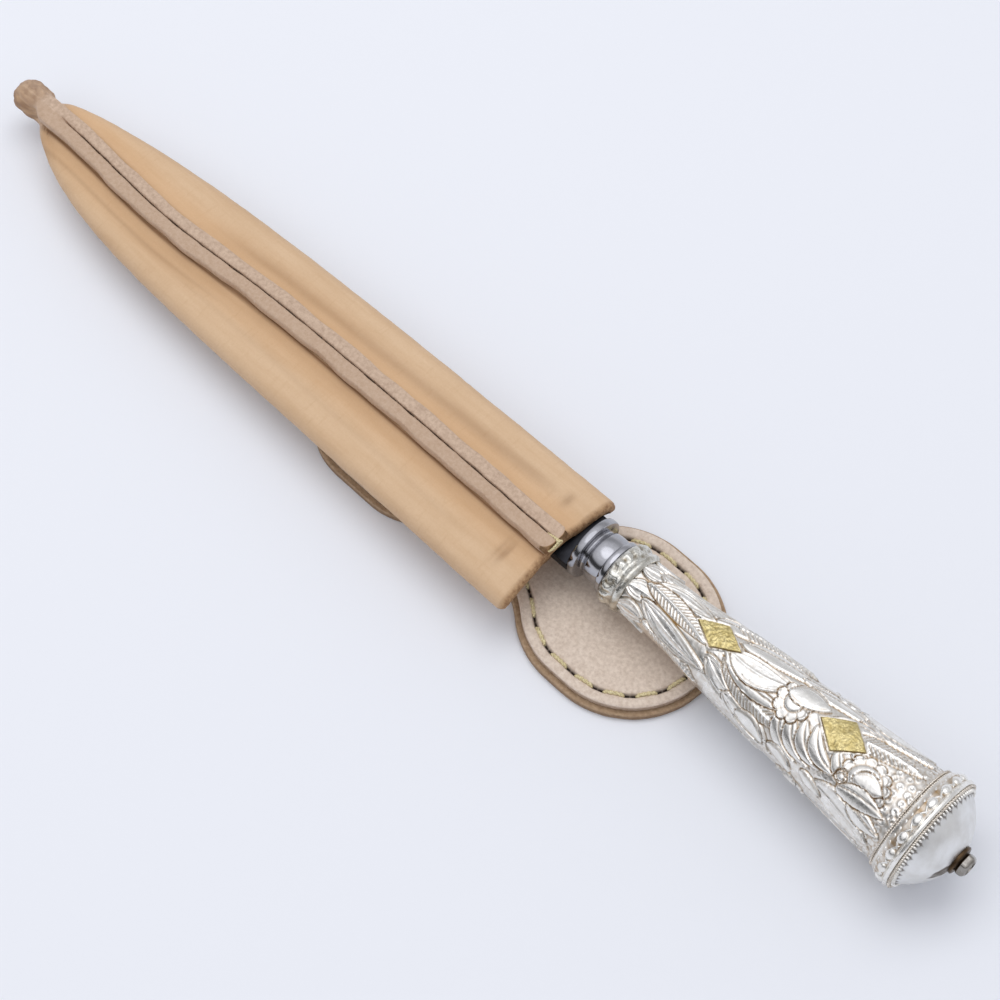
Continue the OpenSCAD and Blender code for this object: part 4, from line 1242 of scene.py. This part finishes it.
def dome_lumps(points):
    return 0.06 * rough(points, 0.22, 2)


def cap(sphere_r, base_r, top_r, count):
    """An arc of the dome's section, from its foot to the stud's hole."""
    angles = np.linspace(math.asin(base_r / sphere_r), math.asin(top_r / sphere_r), count)
    return [(apex_x - dome_sphere_r + sphere_r * math.cos(a), sphere_r * math.sin(a)) for a in angles]


dome_wall, stud_hole_r, dome_foot = 1.2, 2.05, collar_x + 1.55
dome_line = [(dome_foot, dome_r)] + cap(dome_sphere_r, dome_r, stud_hole_r, 48)
dome_line += cap(dome_sphere_r - dome_wall, dome_r - dome_wall, stud_hole_r, 12)[::-1]
dome_line += [(dome_foot, dome_r - dome_wall)]
dome = turned("pommel_dome_silver", dome_line, 320, 35, dome_lumps, dome_patina_and_shade)
dress(dome, dome_silver, "knife", "dome_silver", "pommel_dome")

# %% [markdown]
# Gold leaf plates are fixed on the silver with their surface left granular. Each one is a stack of
# lozenge rings bent round the handle, with fine grains of height and a rounded rim.

# %% Gold lozenges


def gold_plate(name, share, width, side):
    """A lozenge at a share of the handle's length, on the side that faces up (1) or down (-1)."""
    corners = np.array([(1, 0), (0, 1), (-1, 0), (0, -1), (1, 0)], float)
    k = np.arange(96) / 24
    outline = np.stack([np.interp(k, range(5), corners[:, i]) for i in (0, 1)], 1)
    rows = [(0.99, -0.4), (1.0, 0.1), (1.0, 0.3), (0.985, 0.42), (0.95, 0.5)]
    rows += [(size, 0.46) for size in np.linspace(0.9, 0.04, 20)]
    rings = []
    for size, high in rows:
        x = share * shell_len + size * outline[:, 0] * lozenge_len / 2
        r = swell(x / shell_len)
        degrees = np.degrees(size * outline[:, 1] * width / 2 / r) + (0 if side > 0 else 180)
        place = round_axis(shell_x + x, r, degrees)
        grains = 0.16 * rough(place, 0.9, 2) + 0.16 * rough(place + 50, 2.0, 2)
        rings.append(round_axis(shell_x + x, r + high + (grains if high > 0.2 else 0), degrees))
    count = len(outline)
    middle = rings[-1].mean(0)
    points = np.vstack(rings + [middle[None]])
    faces = [list(f) for f in skin_faces(len(rings), count)]
    last = (len(rings) - 1) * count
    faces += [[last + i, last + (i + 1) % count, len(points) - 1] for i in range(count)]
    faces.append(list(range(count))[::-1])
    from_axis = np.linalg.norm(points[:, 1:] - [axis_y, 0], axis=1)
    grain_height = from_axis - swell((points[:, 0] - shell_x) / shell_len)
    hollow = np.clip((0.46 - grain_height) * 3.2, 0, 1)
    return add_mesh(name, lay(points), faces, 50, {"hollow": hollow})


for end, share, width in (("neck", neck_share, lozenge_w_neck), ("pommel", pommel_share, lozenge_w_pommel)):
    for face, side in (("back", 1), ("front", -1)):
        plate = gold_plate("gold_" + end + "_" + face, share, width, side)
        dress(plate, gold, "knife", "gold", "lozenge_" + end + "_" + face)

# %% [markdown]
# Thread, wire, beads and teeth repeat one small form along a path. Geometry Nodes does that: one tree
# twists two strands along a line, the other sets a shaped bead at each place of a ring. Both are run once
# and kept as plain meshes, because the exported model holds no modifiers or instances.

# %% Geometry Nodes helpers


def new_tree(name, inputs):
    """A node tree with a geometry at both ends and the named inputs."""
    tree = bpy.data.node_groups.new(name, "GeometryNodeTree")
    tree.interface.new_socket("Geometry", in_out="INPUT", socket_type="NodeSocketGeometry")
    for key, kind in inputs.items():
        tree.interface.new_socket(key, in_out="INPUT", socket_type="NodeSocket" + kind)
    tree.interface.new_socket("Geometry", in_out="OUTPUT", socket_type="NodeSocketGeometry")
    return tree, tree.nodes.new("NodeGroupInput").outputs


def end_tree(tree, given, geometry):
    smooth = add_node(tree, "GeometryNodeSetShadeSmooth", {"Geometry": geometry}).outputs[0]
    real = add_node(tree, "GeometryNodeRealizeInstances", {"Geometry": smooth}).outputs[0]
    done = add_node(tree, "GeometryNodeSetMaterial", {"Geometry": real, "Material": given["Material"]})
    tree.links.new(done.outputs[0], tree.nodes.new("NodeGroupOutput").inputs["Geometry"])


def grow(name, tree, values, points, edges):
    """Runs a tree on a few lines or points and keeps the result as a plain mesh."""
    base = bpy.data.meshes.new(name + "_line")
    base.from_pydata(np.asarray(points).tolist(), edges, [])
    piece = bpy.data.objects.new(name, base)
    bpy.context.scene.collection.objects.link(piece)
    modifier = piece.modifiers.new("grow", "NODES")
    modifier.node_group = tree
    for item in tree.interface.items_tree:
        if item.in_out == "INPUT" and item.name in values:
            modifier[item.identifier] = values[item.name]
    bpy.context.view_layer.update()
    mesh = bpy.data.meshes.new_from_object(piece.evaluated_get(bpy.context.evaluated_depsgraph_get()))
    piece.modifiers.remove(modifier)
    piece.data = mesh
    print(name, len(mesh.polygons), "faces")
    return piece


# %% [markdown]
# Two strands laid side by side have the section of an eight. A circle that is drawn in at its waist is
# close to that, and when it turns along the line it reads as a twisted thread. The turn comes
# from the length along the line, so every stretch has the same pitch.

# %% Tree of the twisted thread
thread_sizes = {"Radius": "Float", "Pitch": "Float", "Material": "Material"}
thread_tree, given = new_tree("twisted thread", thread_sizes)


def thread_math(kind, *values):
    return add_node(thread_tree, "ShaderNodeMath", dict(enumerate(values)), operation=kind).outputs[0]


line = add_node(thread_tree, "GeometryNodeMeshToCurve", {"Mesh": given["Geometry"]}).outputs[0]
length = add_node(thread_tree, "GeometryNodeSplineParameter").outputs["Length"]
turns = thread_math("DIVIDE", length, given["Pitch"])
line = add_node(thread_tree, "GeometryNodeSetCurveTilt", {
    "Curve": line, "Tilt": times(thread_tree, turns, 2 * math.pi)}).outputs[0]
circle = add_node(thread_tree, "GeometryNodeCurvePrimitiveCircle", {
    "Resolution": 12, "Radius": given["Radius"]})
spot = add_node(thread_tree, "GeometryNodeInputPosition").outputs[0]
side = add_node(thread_tree, "ShaderNodeSeparateXYZ", {0: spot}).outputs[0]
side = thread_math("DIVIDE", thread_math("ABSOLUTE", side), given["Radius"])
waist = plus(thread_tree, times(thread_tree, side, 0.4), 0.6)
spot = add_node(thread_tree, "ShaderNodeVectorMath", {0: spot, "Scale": waist},
                operation="SCALE").outputs[0]
strands = add_node(thread_tree, "GeometryNodeSetPosition", {
    "Geometry": circle.outputs[0], "Position": spot})
thread = add_node(thread_tree, "GeometryNodeCurveToMesh", {
    "Curve": line, "Profile Curve": strands.outputs[0], "Fill Caps": True}).outputs[0]
end_tree(thread_tree, given, thread)
print("thread tree has", len(thread_tree.nodes), "nodes")

# %% [markdown]
# A bead is a small sphere, stretched and turned, set at each point of a circle so that it faces
# outwards. The same tree makes the oval beads, the slanted bars, the small leaves and the teeth.

# %% Tree of the ring of beads
bead_sizes = {"Count": "Int", "Ring": "Float", "Size": "Vector", "Turn": "Vector", "Material": "Material"}
ring_tree, given = new_tree("ring of beads", bead_sizes)
ring = add_node(ring_tree, "GeometryNodeMeshCircle", {"Vertices": given["Count"], "Radius": given["Ring"]})
ball = {"Segments": 14, "Rings": 9, "Radius": 1.0}
bead = add_node(ring_tree, "GeometryNodeMeshUVSphere", ball).outputs[0]
for socket, size in (("Scale", "Size"), ("Rotation", "Turn")):
    bead = add_node(ring_tree, "GeometryNodeTransform", {"Geometry": bead, socket: given[size]}).outputs[0]
spot = add_node(ring_tree, "GeometryNodeInputPosition").outputs[0]
facing = add_node(ring_tree, "FunctionNodeAxesToRotation", {0: spot, 1: (0, 0, 1)},
                  primary_axis="X", secondary_axis="Z").outputs[0]
beads = add_node(ring_tree, "GeometryNodeInstanceOnPoints", {
    "Points": ring.outputs[0], "Instance": bead, "Rotation": facing}).outputs[0]
end_tree(ring_tree, given, beads)
print("bead tree has", len(ring_tree.nodes), "nodes")

# %% [markdown]
# A visible stitch dips into its hole at both ends and lies nearly flat between them. Seven points
# give that line, and the tree twists the thread round it. The same helper later makes the wires.

# %% Tab thread


def twist(name, lines, radius, pitch, material, closed=False):
    """Twisted thread along lines of places in metres. Radius and pitch are in millimetres."""
    points, edges = [], []
    for line in lines:
        first = len(points)
        points += np.asarray(line).tolist()
        edges += [(first + i, first + i + 1) for i in range(len(line) - 1)]
        if closed:
            edges.append((len(points) - 1, first))
    values = {"Radius": radius * MM, "Pitch": pitch * MM, "Material": material}
    return grow(name, thread_tree, values, points, edges)


top_z = 2 * leaf_t
runs = []
for a, b in zip(holes[::4] + holes[1::4], holes[2::4] + holes[3::4]):
    start, stop = a[0], b[0]
    rise = [(mix(start, stop, 0.04), 1.0), (mix(start, stop, 0.05), top_z - 1.1),
            (mix(start, stop, 0.16), top_z - 0.42), (mix(start, stop, 0.5), top_z - 0.22),
            (mix(start, stop, 0.84), top_z - 0.42), (mix(start, stop, 0.95), top_z - 1.1),
            (mix(start, stop, 0.96), 1.0)]
    runs.append(lay_flat(smooth_line([[p[0], p[1] + tab_y, z] for p, z in rise], 30)))
stitches = twist("tab_thread", runs, 0.6, 2.6, waxed_thread)
dress(stitches, waxed_thread, "sheath", "waxed_thread", "upper_lobe_stitches", "lower_lobe_stitches")

# %% [markdown]
# Thread also runs deep in the joint between the sheath's turned edges, as short stretches that hardly
# show. It ends in a small knot at the mouth: two lines through given points.

# %% Joint thread and its knot
joint_stitch, joint_pitch = 3.8, 5.2
joint_runs = []
for s0 in np.arange(4, joint_end - joint_stitch - 2, joint_pitch):
    s = np.linspace(s0, s0 + joint_stitch, 10)
    z = crown_z(s) + flange_t - joint_depth + 0.38 + 0.1 * np.sin(np.pi * (s - s0) / joint_stitch)
    joint_runs.append(lay(np.stack([-s, seam_y(s), z], 1)))
dress(twist("joint_thread", joint_runs, 0.3, 1.3, seam_thread), seam_thread, "sheath", "seam_thread",
      "seam_thread")

knot_at = [0, float(seam_y(0)), crown + flange_t]
knot_lines = [
    [(-5.0, 0, -1.1), (-2.6, 0, -0.6), (-1.0, -0.2, -0.2), (-0.55, -0.6, -1.0), (-0.7, 0.5, -1.5),
     (-0.5, 0.7, -0.5), (-0.7, -0.3, 0.1), (-0.6, -1.4, -0.3), (-0.7, -2.4, -0.8), (-1.0, -3.2, -1.5),
     (-1.9, -3.3, -2.2)],
    [(-4.6, -0.1, -0.8), (-2.0, 0.1, -0.2), (-0.8, 0.2, -0.4), (-0.55, -0.9, -1.2), (-0.7, -2.0, -1.5),
     (-1.4, -3.0, -2.1)],
]
knot_runs = [lay(smooth_line(np.array(line) + knot_at, 60)) for line in knot_lines]
knot = twist("seam_knot_thread", knot_runs, 0.36, 1.5, waxed_thread)
dress(knot, waxed_thread, "sheath", "waxed_thread", "seam_knot")

# %% [markdown]
# Gilt wires lie along the collar: two thin ones in front of it and one behind its rim. Each is a closed
# ring of the twisted thread in metal.

# %% Collar wires


def ring_line(x, radius):
    """240 places on a ring round the handle's axis."""
    return lay(round_axis(np.full(240, x), np.full(240, radius), np.arange(240) * 1.5))


wires = [ring_line(collar_x - 1.85, shell_end_r + 0.42), ring_line(collar_x - 1.15, shell_end_r + 0.5)]
pitch = 2 * math.pi * shell_end_r / 66
dress(twist("collar_wires", wires, 0.36, pitch, gilt_wire, True), gilt_wire, "knife", "gilt_wire",
      "collar_wire_front")
rear = ring_line(collar_x + collar_len + 0.42, collar_r - 0.7)
dress(twist("collar_wire_back", [rear], 0.42, pitch, gilt_wire, True), gilt_wire, "knife", "gilt_wire",
      "collar_wire_rear")

# %% [markdown]
# The collar's beads, bars and leaves and the dome's teeth go round the axis at even distances. The ring
# is grown flat at the origin, and one matrix then lays the mesh on the handle's tilted axis.

# %% Beads and teeth


def ring_of(name, x, radius, count, size, turn_by, material, slot, node, offset=0.0):
    """Beads round the handle's axis. Size is outwards, around and along, in millimetres."""
    values = {"Count": count, "Ring": radius * MM, "Size": Vector(size) * MM,
              "Turn": (math.radians(turn_by), 0, 0), "Material": material}
    piece = grow(name, ring_tree, values, [[0, 0, 0]], [])
    o, up_way, side_way, run_way = (Vector(p) for p in lay([
        [x, axis_y, 0], [x, axis_y, 1000], [x, axis_y - 1000, 0], [x + 1000, axis_y, 0]]).tolist())
    ways = [(way - o).normalized() for way in (up_way, side_way, run_way)]
    frame_of = Matrix([[way[i] for way in ways] + [o[i]] for i in range(3)] + [[0, 0, 0, 1]])
    piece.data.transform(frame_of @ Matrix.Rotation(math.radians(offset), 4, "Z"))
    dress(piece, material, "knife", slot, node)


band_x = collar_x + 0.42 * collar_len
ring_of("collar_ovals", band_x, collar_r - 0.9, 18, (0.95, 1.85, 1.3), 0, silver, "silver", "pommel_collar")
for name, slant, offset in (("collar_bars", 32, 8), ("collar_bars_2", -32, 12)):
    ring_of(name, band_x, collar_r - 0.95, 18, (0.55, 1.5, 0.36), slant, silver, "silver", "pommel_collar",
            offset)
ring_of("collar_leaves", collar_x + 0.3, collar_r - 1.35, 44, (0.45, 0.85, 0.42), 40, silver, "silver",
        "pommel_collar", 3)
ring_of("bezel_teeth", dome_x + 0.35, dome_r + 0.1, 88, (0.5, 0.4, 0.85), 0, silver, "silver", "dome_bezel")

# %% [markdown]
# The small nut pulls the whole handle tight along the stud. It is a hexagon with rounded corners, whose
# size across changes along its length, and it has a bore for the stud.

# %% Nut on the stud
SIDES = 96
nut_rows = [(0.0, 0.84), (0.2, 0.94), (0.5, 1.0), (1.3, 1.0), (1.8, 0.97), (2.2, 0.88), (2.5, 0.74),
            (nut_len, 0.6)]
bore_rows = [(nut_len, 2.1), (nut_len - 0.3, 2.05), (0, 2.05)]
side_angle = np.arange(SIDES) * 360 / SIDES
flat_r = nut_w / 2 / np.cos(np.radians((side_angle + 30) % 60 - 30))
round_r = np.minimum(flat_r, nut_w / 2 * 1.09)
nut_rings = [round_axis(np.full(SIDES, nut_x + x), round_r * k, side_angle) for x, k in nut_rows]
nut_rings += [round_axis(np.full(SIDES, nut_x + x), np.full(SIDES, r), side_angle) for x, r in bore_rows]
nut_points = np.vstack(nut_rings)
nut_faces = np.vstack([skin_faces(len(nut_rings), SIDES), close_faces(len(nut_rings), SIDES)])
nut = add_mesh("finial_nut_steel", lay(nut_points), [f[::-1] for f in nut_faces], 24)
dress(nut, nut_steel, "knife", "bolster_steel", "finial_nut")

# %% [markdown]
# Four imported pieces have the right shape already: the blade, the hidden filler, the washer and the
# hidden stitches. Their meshes are left alone and only their finish changes.

# %% Carried-over pieces keep their mesh and get a finish
finishes = {"blade": blade_steel, "handle_core": filler, "finial_washer": finial_brass,
            "anchor_stitches": waxed_thread}
for name, finish in finishes.items():
    node = frame["nodes"][name]
    node.data.materials.clear()
    node.data.materials.append(finish)
    print(name, "keeps its mesh, in", finish.name)

# %% [markdown]
# The table is a plain pale sheet, and its colour alone makes the pale background.

# %% Table
bpy.ops.mesh.primitive_plane_add(size=6, location=(0, 0, 0))
floor = bpy.context.object
floor.name = "table"
table_finish, tree, surface = new_finish("table", Roughness=0.7, Specular_IOR_Level=0.2)
surface.inputs["Base Color"].default_value = colour(233, 235, 241)
floor.data.materials.append(table_finish)
print("table", floor.name)

# %% [markdown]
# A large soft lamp hangs nearly overhead, a little towards the blade's spine, and a dim one fills from
# the camera's side. Both shine on the scene but aren't mirrored, because a lamp in polished silver
# gives hard white patches.

# %% Lamps


def soft_light(name, place, size, power, tint=(1, 1, 1)):
    """A rectangular lamp that looks at the origin and isn't seen in metal."""
    lamp = bpy.data.lights.new(name, "AREA")
    lamp.shape = "RECTANGLE"
    lamp.size = size
    lamp.size_y = size * 0.6
    lamp.energy = power
    lamp.color = tint
    light = bpy.data.objects.new(name, lamp)
    light.location = place
    light.rotation_mode = "QUATERNION"
    light.rotation_quaternion = (-Vector(place)).to_track_quat("-Z", "Y")
    light.visible_glossy = False
    bpy.context.scene.collection.objects.link(light)


soft_light("window", (-0.35, 0.22, 1.45), 1.5, 9.4, (0.99, 1, 1))
soft_light("fill", (-0.3, -0.9, 1.1), 1.0, 1.4)
print("lamps:", len(bpy.data.lights))

# %% [markdown]
# The world lights the scene evenly, and the camera sees it at a strength of 1. Metals mirror another
# strength, which changes with the height of the ray: bright near the table, dimmer halfway up, brighter
# overhead, and dark in a band on the viewer's side. This gives silver and steel their light and
# dark areas without more light on the object.

# %% World
AROUND, SEEN, DARK_BAND = 0.73, 1.0, 0.12
world = bpy.data.worlds.new("studio")
world.use_nodes = True
sky = world.node_tree
way = add_node(sky, "ShaderNodeTexCoord").outputs["Generated"]
way = add_node(sky, "ShaderNodeSeparateXYZ", {0: way}).outputs
rise = way[2]
rays = add_node(sky, "ShaderNodeLightPath").outputs
mirrored = plus(sky, spread(sky, rise, 0.02, 0.3, 0.98, 0.62), spread(sky, rise, 0.5, 0.8, 0.0, 0.5))
mirrored = plus(sky, mirrored, spread(sky, rise, 0.87, 0.93, 0.0, 0.9))
front = spread(sky, way[1], -0.45, -0.15, 1.0, 0.0)
band = times(sky, spread(sky, rise, 0.08, 0.2), spread(sky, rise, 0.42, 0.55, 1.0, 0.0))
mirrored = times(sky, mirrored, spread(sky, times(sky, front, band), 0, 1, 1.0, DARK_BAND))
strength = add_node(sky, "ShaderNodeMix", {0: rays["Is Glossy Ray"], 2: AROUND, 3: mirrored}).outputs[0]
strength = add_node(sky, "ShaderNodeMix", {0: rays["Is Camera Ray"], 2: strength, 3: SEEN}).outputs[0]
sky.nodes["Background"].inputs["Color"].default_value = colour(242, 243, 248)
sky.links.new(strength, sky.nodes["Background"].inputs["Strength"])
bpy.context.scene.world = world
bpy.context.scene.view_settings.view_transform = "Standard"
print("world", world.name, "with", len(sky.nodes), "nodes")
